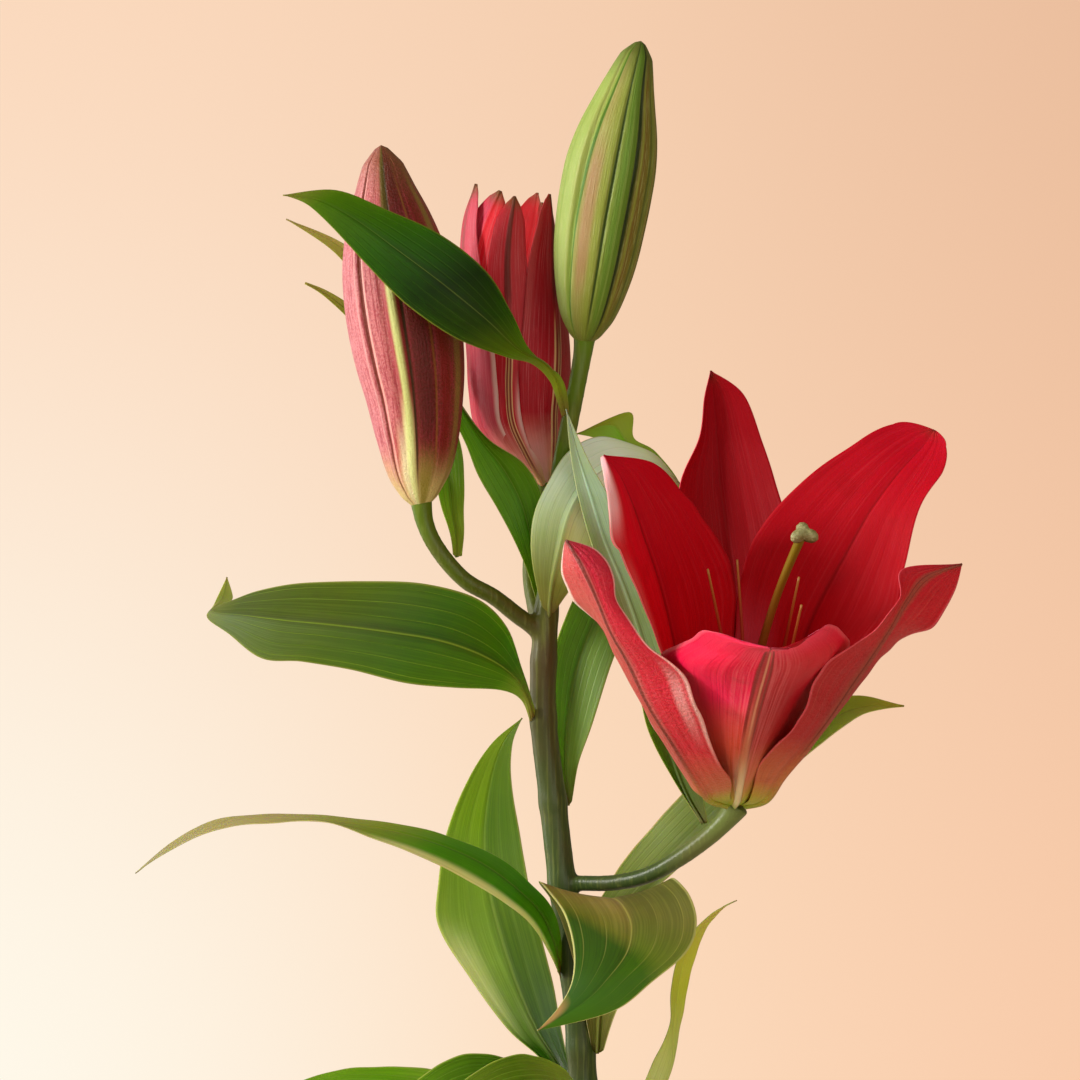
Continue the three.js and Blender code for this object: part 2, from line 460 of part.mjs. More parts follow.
// Round tube along a route of X, Y, Z and radius
function tube(route, grow = 0, sides = STEM_SIDES, stepsPerPoint = 2) {
  const curve = curveThrough(route);
  const steps = (route.length - 1) * stepsPerPoint;
  const frames = curve.computeFrenetFrames(steps, false);
  const points = [];
  const triangles = [];
  for (let i = 0; i <= steps; i += 1) {
    const u = i / steps;
    const centre = curve.getPointAt(u);
    const radius = alongList(route.map((p) => p[3]), curve.getUtoTmapping(u)) + grow;
    for (let k = 0; k < sides; k += 1) {
      const angle = (2 * Math.PI * k) / sides;
      const out = frames.normals[i].clone().multiplyScalar(Math.cos(angle) * radius);
      out.addScaledVector(frames.binormals[i], Math.sin(angle) * radius);
      points.push(centre.clone().add(out).toArray());
    }
  }
  for (let i = 0; i < steps; i += 1) {
    for (let k = 0; k < sides; k += 1) {
      const [a, b] = [i * sides + k, i * sides + ((k + 1) % sides)];
      triangles.push([a, b, b + sides], [a, b + sides, a + sides]);
    }
  }
  for (let k = 1; k < sides - 1; k += 1) {
    const last = steps * sides;
    triangles.push([0, k + 1, k], [last, last + k, last + k + 1]);
  }
  return solidFromLists(points, triangles);
}

// Middle surface of a blade between its two margins, through its midrib
function rowsThroughStations(form, rows, half, grow) {
  const rails = [0, 1, 2].map((k) => form.stations.map((station) => station[k] ?? station[0]));
  const last = form.stations.length - 1;
  const railAt = (rail, u) => new THREE.Vector3(...[0, 1, 2].map((axis) => alongList(rail.map((p) => p[axis]), u)));
  const centres = [];
  for (let i = 0; i <= rows; i += 1) {
    const u = i / rows;
    const [left, middle, right] = rails.map((rail) => railAt(rail, u));
    const ahead = railAt(rails[1], Math.min(u + 0.02, 1)).sub(railAt(rails[1], Math.max(u - 0.02, 0))).normalize();
    const across = right.clone().sub(left).addScaledVector(ahead, -right.clone().sub(left).dot(ahead));
    if (across.length() < 0.8) {
      const spread = across.clone().normalize().multiplyScalar(0.4);
      if (i === rows) {
        const before = railAt(rails[2], 1 - 1 / last).sub(railAt(rails[0], 1 - 1 / last));
        spread.copy(before.addScaledVector(ahead, -before.dot(ahead)).normalize().multiplyScalar(0.4));
      }
      left.copy(middle).sub(spread);
      right.copy(middle).add(spread);
    }
    left.addScaledVector(left.clone().sub(middle).normalize(), grow);
    right.addScaledVector(right.clone().sub(middle).normalize(), grow);
    const upward = right.clone().sub(left).cross(ahead).normalize();
    const [height, count, phase] = form.wave;
    const row = [];
    for (let j = 0; j <= 2 * half; j += 1) {
      const v = j / half - 1;
      const point = middle.clone().multiplyScalar(form.crease * (1 - Math.abs(v)) + (1 - form.crease) * (1 - v * v));
      const toLeft = form.crease * Math.max(-v, 0) + (1 - form.crease) * (v * v - v) / 2;
      const toRight = form.crease * Math.max(v, 0) + (1 - form.crease) * (v * v + v) / 2;
      const wave = height * v * v * Math.sin(2 * Math.PI * count * u + phase + (v > 0 ? 1.3 : 0))
        * Math.min(1, 4 * u * (1 - u));
      point.addScaledVector(left, toLeft).addScaledVector(right, toRight).addScaledVector(upward, wave);
      row.push(point.addScaledVector(ahead, grow * (2 * u - 1)));
    }
    centres.push(row);
  }
  return centres;
}

// Middle surface of a blade along a centre line, with folded halves and curled margins
function rowsAlongRoute(form, rows, half, grow) {
  const curve = curveThrough(form.route);
  const centres = [];
  for (let i = 0; i <= rows; i += 1) {
    const u = i / rows;
    const t = curve.getUtoTmapping(u);
    const along = curve.getTangentAt(u);
    const facing = alongVectors(form.facing, t);
    facing.addScaledVector(along, -facing.dot(along)).normalize();
    const side = along.clone().cross(facing);
    const width = Math.max(alongList(form.widths, u), 0.4) + grow;
    const fold = alongList(form.fold ?? [0, 0], u);
    const curled = alongList(form.curl, u);
    const curl = Math.abs(curled) < 0.02 ? 0.02 : curled;
    const centre = curve.getPointAt(u).addScaledVector(along, grow * (2 * u - 1));
    const [height, count, phase] = form.wave;
    const row = [];
    for (let j = 0; j <= 2 * half; j += 1) {
      const v = j / half - 1;
      const turn = fold + Math.abs(v) * curl;
      const across = (Math.sign(v) * width * (Math.sin(turn) - Math.sin(fold))) / curl;
      const lift = (width * (Math.cos(fold) - Math.cos(turn))) / curl;
      const wave = height * v * v * Math.sin(2 * Math.PI * count * u + phase + (v > 0 ? 1.3 : 0))
        * Math.min(1, 4 * u * (1 - u));
      row.push(centre.clone().addScaledVector(side, across).addScaledVector(facing, lift + wave));
    }
    centres.push(row);
  }
  return centres;
}

// Leaf or tepal: a thin blade with a raised midrib below. Both faces are split into the same triangles.
function blade(form, grow = 0) {
  const rows = form.rows ?? 12;
  const half = form.half ?? 2;
  const columns = 2 * half;
  const centres = (form.stations ? rowsThroughStations : rowsAlongRoute)(form, rows, half, grow);
  const points = [];
  const normalAt = (i, j) => {
    const lengthwise = centres[Math.min(i + 1, rows)][j].clone().sub(centres[Math.max(i - 1, 0)][j]);
    const crosswise = centres[i][Math.min(j + 1, columns)].clone().sub(centres[i][Math.max(j - 1, 0)]);
    return crosswise.cross(lengthwise).normalize();
  };
  for (const face of [1, -1]) {
    for (let i = 0; i <= rows; i += 1) {
      for (let j = 0; j <= columns; j += 1) {
        const edge = Math.abs(j / half - 1);
        const thick = (form.thick ?? 0.8) * (1 - 0.2 * edge) / 2 + grow + (face < 0 && edge === 0 ? form.rib ?? 0.3 : 0);
        points.push(centres[i][j].clone().addScaledVector(normalAt(i, j), face * thick).toArray());
      }
    }
  }
  const stride = columns + 1;
  const below = (rows + 1) * stride;
  const triangles = [];
  for (let i = 0; i < rows; i += 1) {
    for (let j = 0; j < columns; j += 1) {
      const a = i * stride + j;
      const [b, c, d] = [a + 1, a + stride + 1, a + stride];
      triangles.push([a, b, c], [a, c, d]);
      triangles.push([a + below, c + below, b + below], [a + below, d + below, c + below]);
    }
  }
  for (let j = 0; j < columns; j += 1) {
    const first = j;
    const last = rows * stride + j;
    triangles.push([first, first + below + 1, first + 1], [first, first + below, first + below + 1]);
    triangles.push([last, last + 1, last + below + 1], [last, last + below + 1, last + below]);
  }
  for (let i = 0; i < rows; i += 1) {
    const left = i * stride;
    const right = left + columns;
    triangles.push([left, left + stride, left + stride + below], [left, left + stride + below, left + below]);
    triangles.push([right, right + below + stride, right + stride], [right, right + below, right + below + stride]);
  }
  return solidFromLists(points, triangles);
}

// Closed bud: six seams and three midribs raised from a round body that follows a bent centre line
function closedBud(form) {
  const sides = 36;
  const steps = 12;
  const curve = curveThrough(form.route);
  const points = [curve.getPointAt(0).toArray(), curve.getPointAt(1).toArray()];
  for (let i = 1; i < steps; i += 1) {
    const u = i / steps;
    const along = curve.getTangentAt(u);
    const right = new THREE.Vector3(0, 1, 0).cross(along).normalize();
    const back = along.clone().cross(right);
    const relief = Math.sin(Math.PI * Math.min(1, u * 1.6) / 2) * Math.min(1, 3 * (1 - u));
    for (let k = 0; k < sides; k += 1) {
      const degrees = (360 * k) / sides;
      const fromRib = Math.abs(((degrees % 120) + 120) % 120 - 60) - 60;
      const fromSeam = Math.abs(Math.abs(fromRib) - 20);
      const rib = Math.max(0, 1 - Math.abs(fromRib) / 15);
      const seam = Math.max(0, 1 - fromSeam / 12);
      const radius = alongList(form.radii, u) + relief * (form.rib * rib - form.seam * seam);
      const angle = ((degrees + form.turn) * Math.PI) / 180;
      const point = curve.getPointAt(u).addScaledVector(right, Math.cos(angle) * radius);
      points.push(point.addScaledVector(back, Math.sin(angle) * radius).toArray());
    }
  }
  const triangles = [];
  const ring = (i, k) => 2 + (i - 1) * sides + (k % sides);
  for (let k = 0; k < sides; k += 1) {
    triangles.push([0, ring(1, k + 1), ring(1, k)]);
    triangles.push([1, ring(steps - 1, k), ring(steps - 1, k + 1)]);
    for (let i = 1; i < steps - 1; i += 1) {
      triangles.push([ring(i, k), ring(i, k + 1), ring(i + 1, k + 1)]);
      triangles.push([ring(i, k), ring(i + 1, k + 1), ring(i + 1, k)]);
    }
  }
  return solidFromLists(points, triangles);
}

// Opening bud: a core with six thick lobes fused to it, their tips standing apart
function openingBud(form) {
  const curve = curveThrough(form.route);
  const core = [];
  for (let i = 0; i <= 7; i += 1) {
    const u = (i / 7) * form.core;
    const ease = i === 7 ? 0.35 : 0.93;
    core.push([...curve.getPointAt(u).toArray(), alongList(form.radii, u) * ease]);
  }
  const bodies = [tube(core, 0, 12, 1)];
  form.lobes.forEach(([turnLow, turnHigh, reach, place, share]) => {
    const route = [];
    const facing = [];
    const curl = [];
    for (let i = 0; i <= 9; i += 1) {
      const u = i / 9;
      const along = curve.getTangentAt(u);
      const right = new THREE.Vector3(0, 1, 0).cross(along).normalize();
      const back = along.clone().cross(right);
      const angle = ((turnLow + (turnHigh - turnLow) * u * u) * Math.PI) / 180;
      const out = right.multiplyScalar(Math.cos(angle)).addScaledVector(back, Math.sin(angle));
      const radius = alongList(form.radii, u);
      route.push(curve.getPointAt(u).addScaledVector(out, radius * place * (1 + (reach - 1) * u * u)).toArray());
      facing.push(out.negate().toArray());
      curl.push((share * form.widths[i]) / radius);
    }
    const widths = form.widths.map((width) => share * width);
    bodies.push(blade({ route, facing, widths, curl, wave: [0, 1, 0], thick: 2, rib: 0.6, rows: 11 }));
  });
  return Manifold.union(bodies);
}

// Point at a distance along the flower's axis and out from it at a turn in degrees
function flowerPoint(height, out, turn) {
  const across = new THREE.Vector3(1, 0, 0).addScaledVector(FLOWER_AXIS, -FLOWER_AXIS.x).normalize();
  const behind = FLOWER_AXIS.clone().cross(across);
  const angle = (turn * Math.PI) / 180;
  return FLOWER_BASE.clone()
    .addScaledVector(FLOWER_AXIS, height)
    .addScaledVector(across, out * Math.cos(angle))
    .addScaledVector(behind, out * Math.sin(angle));
}

// Solid turned around the flower's axis from a profile of radius and height
function flowerLathe(profile, sides) {
  const geometry = new THREE.LatheGeometry(profile.map(([r, h]) => new THREE.Vector2(r, h)), sides);
  const turn = new THREE.Quaternion().setFromUnitVectors(new THREE.Vector3(0, 1, 0), FLOWER_AXIS);
  geometry.applyQuaternion(turn);
  geometry.translate(FLOWER_BASE.x, FLOWER_BASE.y, FLOWER_BASE.z);
  return solidFromGeometry(geometry);
}

// Solid turned around the vertical axis from a profile of radius and height
function uprightLathe(profile, sides) {
  const geometry = new THREE.LatheGeometry(profile.map(([r, z]) => new THREE.Vector2(r, z)), sides);
  geometry.rotateX(Math.PI / 2);
  return solidFromGeometry(geometry);
}

function stemSolid(grow) {
  const stalks = [MAIN_STEM, LEFT_STALK, MIDDLE_STALK, FLOWER_STALK].map((route) => tube(route, grow));
  const receptacle = flowerLathe(RECEPTACLE.map(([r, h]) => [r ? r + grow : 0, h + Math.sign(h) * grow]), 12);
  return Manifold.union([...stalks, receptacle]);
}

const pieces = {};
const stemGrown = stemSolid(GAP);
pieces.stem = { solid: stemSolid(0).trimByPlane([0, 0, 1], VASE_FLOOR + GAP), look: 'stem' };

const vaseProfile = [[0, 0], ...VASE_OUTSIDE, [25.4, VASE_HEIGHT], [22.8, VASE_HEIGHT], ...VASE_INSIDE,
  [35.6, VASE_FLOOR], [0, VASE_FLOOR]];
pieces.vase = { solid: uprightLathe(vaseProfile, VASE_SIDES), look: 'vase' };

const waterProfile = [[0, VASE_FLOOR + GAP], [35.2, VASE_FLOOR + GAP]];
VASE_INSIDE.slice().reverse().filter(([, z]) => z < WATER_LEVEL).forEach(([r, z]) => {
  waterProfile.push([r - GAP - 0.2, z + 0.2]);
});
waterProfile.push([25.2, WATER_LEVEL], [0, WATER_LEVEL]);
pieces.water = { solid: uprightLathe(waterProfile, VASE_SIDES).subtract(stemGrown), look: 'water' };

for (const [name, form] of Object.entries(BUDS)) {
  const look = name === 'bud_green_top' ? 'bud_green' : 'bud_pink';
  pieces[name] = { solid: largest(closedBud(form).subtract(stemGrown)), look };
}
pieces.bud_opening = { solid: largest(openingBud(OPENING_BUD).subtract(stemGrown)), look: 'bud_red' };

const pistil = (grow) => {
  const [x, y, z] = STYLE[STYLE.length - 1];
  const bodies = [tube(STYLE, grow, 10, 2)];
  for (let k = 0; k < 3; k += 1) {
    const lobe = new THREE.SphereGeometry(STIGMA_LOBE + grow, 8, 6);
    const angle = (2 * Math.PI * (k + 0.2)) / 3;
    lobe.translate(x + 1.9 * Math.cos(angle), y + 1.9 * Math.sin(angle), z + 1.4);
    bodies.push(solidFromGeometry(lobe));
  }
  return Manifold.union(bodies);
};
pieces.pistil = { solid: largest(pistil(0).subtract(stemGrown)), look: 'pistil' };

const collar = [[0, 3.8], [4.1, 3.8], [4.5, 5], [4, 7.4], [0, 7.4]];
const filaments = (grow) => Manifold.union([
  flowerLathe(collar.map(([r, h]) => [r ? r + grow : 0, h + (h > 5 ? grow : -grow)]), 12),
  ...FILAMENTS.map(([turn, ...end]) => {
    const start = flowerPoint(20, 5, turn);
    const tip = new THREE.Vector3(...end);
    const middle = start.clone().lerp(tip, 0.5).addScaledVector(FLOWER_AXIS, 2);
    const route = [flowerPoint(5, 3.5, turn), start, middle, tip];
    return tube(route.map((p) => [...p.toArray(), FILAMENT_RADIUS]), grow, 5, 2);
  }),
]);
pieces.stamens = { solid: largest(filaments(0).subtract(pistil(GAP)).subtract(stemGrown)), look: 'stamen' };

const flowerCore = Manifold.union([stemGrown, filaments(GAP), pistil(GAP)]);
let taken = flowerCore;
for (const [name, form] of Object.entries(TEPALS)) {
  const tepal = { ...form, half: 3, rows: 18, thick: 0.9, rib: 0.6 };
  pieces[name] = { solid: largest(blade(tepal).subtract(taken)), look: 'tepal' };
  taken = taken.add(blade(tepal, GAP));
}

taken = stemGrown;
for (const [name, form] of Object.entries(LEAVES)) {
  const look = name === 'bract_flower' || name === 'bract_fork' ? 'leaf_pale' : 'leaf';
  pieces[name] = { solid: largest(blade(form).subtract(taken)), look };
  taken = taken.add(blade(form, GAP));
}

// Named meshes
const lily = new THREE.Group();
lily.name = 'oriental_lily_in_vase';
for (const [name, { solid, look }] of Object.entries(pieces)) {
  const { vertProperties, triVerts } = solid.getMesh();
  const geometry = new THREE.BufferGeometry();
  geometry.setAttribute('position', new THREE.BufferAttribute(new Float32Array(vertProperties), 3));
  geometry.setIndex(new THREE.BufferAttribute(new Uint32Array(triVerts), 1));
  geometry.computeVertexNormals();
  const [color, roughness] = COLOURS[look];
  const mesh = new THREE.Mesh(geometry, new THREE.MeshStandardMaterial({ color, roughness, metalness: 0 }));
  mesh.name = name;
  lily.add(mesh);
}

export default lily;
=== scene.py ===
"""Oriental lily in a bottle vase: a cut stem with an open red flower, three buds and leaves, in water."""
import math
import bmesh
import bpy
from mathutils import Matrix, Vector


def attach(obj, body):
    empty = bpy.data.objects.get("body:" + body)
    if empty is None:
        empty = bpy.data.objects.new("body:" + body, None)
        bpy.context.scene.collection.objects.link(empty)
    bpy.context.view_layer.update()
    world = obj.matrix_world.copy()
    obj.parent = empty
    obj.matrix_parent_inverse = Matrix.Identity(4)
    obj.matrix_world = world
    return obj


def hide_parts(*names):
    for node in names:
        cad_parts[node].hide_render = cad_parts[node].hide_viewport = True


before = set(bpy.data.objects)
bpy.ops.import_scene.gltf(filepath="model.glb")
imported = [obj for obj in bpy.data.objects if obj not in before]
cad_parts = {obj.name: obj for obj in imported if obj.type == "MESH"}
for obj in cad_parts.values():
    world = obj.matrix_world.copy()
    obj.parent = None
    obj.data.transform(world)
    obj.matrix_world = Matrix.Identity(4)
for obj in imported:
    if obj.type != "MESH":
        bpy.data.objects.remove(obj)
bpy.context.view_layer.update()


# Vase
# A small bottle of slip-cast stoneware, turned in one piece, with a satin off-white glaze inside and
# out. The glaze is wiped off the foot ring that it stood on in the kiln.

def tint(red, green, blue):
    """Linear colour from the red, green and blue of a colour chart, 0 to 255."""
    shares = (value / 255 for value in (red, green, blue))
    return (*(s / 12.92 if s <= 0.04045 else ((s + 0.055) / 1.055) ** 2.4 for s in shares), 1)


def wire(tree, value, socket):
    """Puts a value or another node's output on an input."""
    if isinstance(value, bpy.types.NodeSocket):
        tree.links.new(value, socket)
    else:
        socket.default_value = value


def add(tree, kind, wires=None, **settings):
    """Node with its settings, and a value or another node's output on each of its named inputs."""
    made = tree.nodes.new(kind)
    for name, value in settings.items():
        setattr(made, name, value)
    for place, value in (wires or {}).items():
        wire(tree, value, made.inputs[place])
    return made


def maths(tree, operation, *values):
    """One sum on numbers or outputs."""
    return add(tree, "ShaderNodeMath", dict(enumerate(values)), operation=operation).outputs[0]


def times(tree, first, second):
    """Product of two numbers or outputs."""
    return maths(tree, "MULTIPLY", first, second)


def mixed(tree, share, first, second, blend="MIX"):
    """Colour between two others by a share."""
    made = add(tree, "ShaderNodeMix", {0: share, 6: first, 7: second}, data_type="RGBA", blend_type=blend)
    return made.outputs[2]


def over(tree, skin, mask, share, colour, blend="MIX"):
    """Skin with a red, green, blue colour over it by a share, where the mask is above 0."""
    return mixed(tree, times(tree, mask, share), skin, tint(*colour), blend)


def ramp(tree, place, stops):
    """Colour at a place from 0 to 1 between the stops, each a place and its red, green and blue."""
    made = add(tree, "ShaderNodeValToRGB", {0: place})
    elements = made.color_ramp.elements
    while len(elements) < len(stops):
        elements.new(0.5)
    for element, (at, *colour) in zip(elements, stops):
        element.position = at
        element.color = tint(*colour)
    return made.outputs[0]


def rise(tree, value, low, high):
    """0 below low, 1 above high, and smooth between."""
    made = add(tree, "ShaderNodeMapRange", {0: value, 1: low, 2: high, 3: 0.0, 4: 1.0},
               interpolation_type="SMOOTHSTEP")
    return made.outputs[0]


def new_finish(name):
    """Empty material with its node tree and its shader."""
    material = bpy.data.materials.new(name)
    material.use_nodes = True
    tree = material.node_tree
    return material, tree, tree.nodes["Principled BSDF"]


def coated(tree, shader, relief=None, **values):
    """Puts values or outputs on a shader's inputs, whose names have _ for a space. Relief is a height,
    its strength and its depth in metres."""
    for name, value in values.items():
        wire(tree, value, shader.inputs[name.replace("_", " ")])
    if relief:
        height, strength, depth = relief
        bump = add(tree, "ShaderNodeBump", {"Strength": strength, "Distance": depth, "Height": height})
        tree.links.new(bump.outputs[0], shader.inputs["Normal"])


def new_group(name, inputs, outputs):
    """Empty group of shader nodes with its inputs, each a name and a number, and its outputs' names."""
    group = bpy.data.node_groups.new(name, "ShaderNodeTree")
    for label, value in inputs.items():
        socket = group.interface.new_socket(label, in_out="INPUT", socket_type="NodeSocketFloat")
        socket.default_value = value
    for label in outputs:
        group.interface.new_socket(label, in_out="OUTPUT", socket_type="NodeSocketFloat")
    return group, group.nodes.new("NodeGroupInput").outputs, group.nodes.new("NodeGroupOutput").inputs


def placed(tree, group, **values):
    """Outputs of a group's node in a material, with its values."""
    return add(tree, "ShaderNodeGroup", values, node_tree=group).outputs


def mottle_group():
    """Soft uneven patches and a fine grain over them, both about 0.5, in the object's own space."""
    group, given, out = new_group("mottle", {"Patches": 60.0, "Grain": 900.0}, ["Patches", "Grain"])
    place = add(group, "ShaderNodeTexCoord").outputs["Object"]
    for label, detail in (("Patches", 3.0), ("Grain", 2.0)):
        noise = add(group, "ShaderNodeTexNoise", {"Vector": place, "Scale": given[label], "Detail": detail,
                                                  "Roughness": 0.55})
        group.links.new(noise.outputs[0], out[label])
    return group


MOTTLE = mottle_group()


def finish_mesh(name, bm, materials, nodes):
    """Object from a finished mesh in millimetres, riding on the part and standing for its CAD nodes."""
    bmesh.ops.scale(bm, vec=(0.001, 0.001, 0.001), verts=bm.verts)
    for face in bm.faces:
        face.smooth = True
    mesh = bpy.data.meshes.new(name)
    bm.to_mesh(mesh)
    bm.free()
    piece = bpy.data.objects.new(name, mesh)
    bpy.context.scene.collection.objects.link(piece)
    for material in materials:
        mesh.materials.append(material)
    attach(piece, "root")
    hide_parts(*nodes)
    return piece


def turned(profile, steps):
    """Body of revolution about Z from a profile of radius and height, closed at its poles."""
    bm = bmesh.new()
    points = [bm.verts.new((radius, 0, height)) for radius, height in profile]
    edges = [bm.edges.new(pair) for pair in zip(points, points[1:])]
    bmesh.ops.spin(bm, geom=points + edges, cent=(0, 0, 0), axis=(0, 0, 1), angle=2 * math.pi,
                   steps=steps, use_merge=True)
    bmesh.ops.remove_doubles(bm, verts=bm.verts, dist=0.001)
    bmesh.ops.recalc_face_normals(bm, faces=bm.faces)
    return bm


def between(values, u):
    """Number or vector at u, 0 to 1, on a smooth curve through values at even steps."""
    place = min(max(u, 0), 1) * (len(values) - 1)
    i = min(int(place), len(values) - 2)
    t = place - i
    low, high = values[i], values[i + 1]
    start = (high - values[max(i - 1, 0)]) / 2
    end = (values[min(i + 2, len(values) - 1)] - low) / 2
    climb = high - low
    return low + (start + (3 * climb - 2 * start - end + (start + end - 2 * climb) * t) * t) * t


VASE_OUTSIDE = [(42, 0.6), (43.6, 2.4), (49.4, 24), (54.4, 48), (56, 72), (53.2, 96), (44.8, 120),
                (33.4, 144), (25.2, 164), (22.6, 182), (23.4, 198), (26.4, 207.6)]
VASE_INSIDE = [(21.8, 207.2), (18.3, 196), (18, 182), (20.4, 164), (28.6, 144), (40, 120), (48.4, 96),
               (51.2, 72), (49.6, 48), (44.6, 24), (37, 9.4)]
PROFILE_STEPS = 44


def smooth_profile(points):
    """The profile's points, with more of them between on the same curve."""
    vectors = [Vector(point) for point in points]
    return [tuple(between(vectors, i / PROFILE_STEPS)) for i in range(PROFILE_STEPS + 1)]


foot = [(0, 1.4), (34, 1.4), (36.4, 1), (37.4, 0.1), (40.6, 0)]
lip = [(26.5, 208.8), (25.8, 209.8), (24.6, 210), (23.2, 209.4)]
bottom = [(34, 8.2), (0, 8)]
vase_profile = foot + smooth_profile(VASE_OUTSIDE) + lip + smooth_profile(VASE_INSIDE) + bottom
vase_mesh = turned(vase_profile, steps=128)


def glaze_finish():
    """Satin off-white glaze, a little uneven, with faint iron specks, and bare clay under the foot."""
    material, tree, shader = new_finish("satin glaze")
    place = add(tree, "ShaderNodeTexCoord").outputs["Object"]
    height = add(tree, "ShaderNodeSeparateXYZ", {0: place}).outputs[2]
    mottle = placed(tree, MOTTLE, Patches=22.0, Grain=420.0)
    glaze = ramp(tree, mottle["Patches"],
                 [(0.3, 226, 221, 210), (0.55, 236, 232, 222), (0.8, 241, 238, 231)])
    cells = add(tree, "ShaderNodeTexVoronoi", {"Vector": place, "Scale": 210.0}, feature="F1")
    speck = rise(tree, cells.outputs["Distance"], 0.13, 0.07)
    speck = times(tree, speck, rise(tree, mottle["Patches"], 0.5, 0.6))
    glaze = over(tree, glaze, speck, 0.45, (150, 128, 98))
    bare = maths(tree, "ADD", rise(tree, height, 0.0022, 0.0012), times(tree, mottle["Patches"], 0.02))
    clay = ramp(tree, mottle["Grain"], [(0.3, 178, 158, 132), (0.7, 200, 182, 156)])
    gloss = maths(tree, "MULTIPLY_ADD", mottle["Patches"], 0.14, 0.2)
    coated(tree, shader, (mottle["Patches"], 0.25, 0.0004), Base_Color=mixed(tree, bare, glaze, clay),
           Roughness=maths(tree, "MAXIMUM", gloss, times(tree, bare, 0.85)), Coat_Weight=0.25,
           Coat_Roughness=0.25)
    return material


finish_mesh("vase_body", vase_mesh, [glaze_finish()], ["vase"])


# Water
# Clear water to two thirds of the vase's height. Its surface creeps up a little at the wall, and the
# stem stands in it.

WATER_LEVEL = 149
water_foot = [(0, 8.4), (34.6, 8.6)]
water_wall = [(radius - 0.4, height + 0.2) for radius, height in reversed(smooth_profile(VASE_INSIDE))
              if height < WATER_LEVEL]
water_top = [(25.6, 150), (24.4, 149.4), (22.6, 149.1), (0, WATER_LEVEL)]
water_mesh = turned(water_foot + water_wall + water_top, steps=96)


def water_finish():
    """Clear water with a faint green cast, and the slightest ripple on its surface."""
    material, tree, shader = new_finish("clear water")
    mottle = placed(tree, MOTTLE, Patches=30.0, Grain=200.0)
    clear = ramp(tree, mottle["Patches"], [(0.2, 232, 240, 236), (0.8, 244, 249, 246)])
    coated(tree, shader, (mottle["Patches"], 0.05, 0.0005), Base_Color=clear, Roughness=0.02, IOR=1.33,
           Transmission_Weight=1.0)
    return material


finish_mesh("vase_water", water_mesh, [water_finish()], ["water"])


# Stem and flower stalks
# One firm green stem, 9 mm thick and thinner upwards, that forks into a stalk for each bud and one
# for the flower. It has fine length lines, a low swelling under each leaf, and grey-brown patches.

MAIN_STEM = [(13, 0, 8.4, 4.9), (6, 0, 60, 4.9), (-1, 0, 110, 4.8), (-8.5, 0, 165, 4.7),
             (-12.9, 0, 200, 4.7), (-18.2, 0, 270, 4.6), (-21, 0, 305, 4.6), (-25, 0, 334, 4.5),
             (-28, 0, 360, 4.4), (-31, 0, 387, 4.3), (-30.4, 0, 412, 4.1), (-29.2, 2, 430, 3.5),
             (-27.4, 3, 452, 3.1), (-24.2, 2, 472, 3), (-20.6, 0, 490, 2.9), (-18.4, 0, 502, 3.1),
             (-17.6, 0, 509, 3.8)]
LEFT_STALK = [(-28.6, 0, 408, 2.8), (-33.6, -1, 414.4, 2.8), (-39.6, -3, 419, 2.8), (-47, -6, 424.8, 2.7),
              (-56, -8, 430, 2.7), (-64, -9, 439, 2.7), (-68.6, -9, 448, 2.9), (-70.2, -9, 458, 3.8)]
MIDDLE_STALK = [(-30, 1, 402, 3), (-33, 6, 418, 2.7), (-35.4, 14, 432, 2.4), (-34, 21, 446, 2.4),
                (-31.4, 25, 457, 2.7), (-30.4, 26, 466, 3.4)]
FLOWER_STALK = [(-27, 0, 332, 2.6), (-20, -2, 333, 2.6), (-9, -8, 333.4, 2.6), (2, -14, 336, 2.7),
                (12, -19, 341.6, 2.8), (21, -23, 348.4, 3), (27.4, -25, 354.6, 3.4), (30.6, -26, 359, 4.4)]
SWELLING_REACH = 3.2
SWELLING_SHARE = 0.09
FLATS_SHARE = 0.012
STALKS_TOP = 0.52
LINE_STEPS = 240
SWELLINGS = [234, 245, 252, 266, 280, 304, 315, 333, 359, 386, 404, 420]


def centre_line(points):
    """Function from u, 0 to 1 by length, to the point (with what is listed after it) and the way ahead."""
    vectors = [Vector(point) for point in points]
    fine = [between(vectors, i / LINE_STEPS) for i in range(LINE_STEPS + 1)]
    lengths = [0.0]
    for first, second in zip(fine, fine[1:]):
        lengths.append(lengths[-1] + (second.xyz - first.xyz).length)

    def at(u):
        target = min(max(u, 0), 1) * lengths[-1]
        i = next(k for k in range(1, LINE_STEPS + 1) if lengths[k] >= target - 1e-9)
        share = (target - lengths[i - 1]) / (lengths[i] - lengths[i - 1])
        point = fine[i - 1].lerp(fine[i], share)
        ahead = (fine[min(i + 2, LINE_STEPS)].xyz - fine[max(i - 3, 0)].xyz).normalized()
        return point, ahead
    return at


def shaped_sheet(place, columns, rows, tube=False):
    """Grid laid on the surface place(u, v), u from base to tip and v across or round, with its UV map.
    A tube is joined along its seam and at its ends."""
    bm = bmesh.new()
    bmesh.ops.create_grid(bm, x_segments=columns, y_segments=rows, size=1)
    chart = bm.loops.layers.uv.new("UVMap")
    for face in bm.faces:
        for corner in face.loops:
            corner[chart].uv = ((corner.vert.co.y + 1) / 2, (corner.vert.co.x + 1) / 2)
    for vert in bm.verts:
        vert.co = place((vert.co.y + 1) / 2, vert.co.x)
    if tube:
        bmesh.ops.remove_doubles(bm, verts=bm.verts, dist=0.002)
        open_ends = [edge for edge in bm.edges if edge.is_boundary]
        if open_ends:
            bmesh.ops.holes_fill(bm, edges=open_ends)
        bmesh.ops.recalc_face_normals(bm, faces=bm.faces)
    return bm


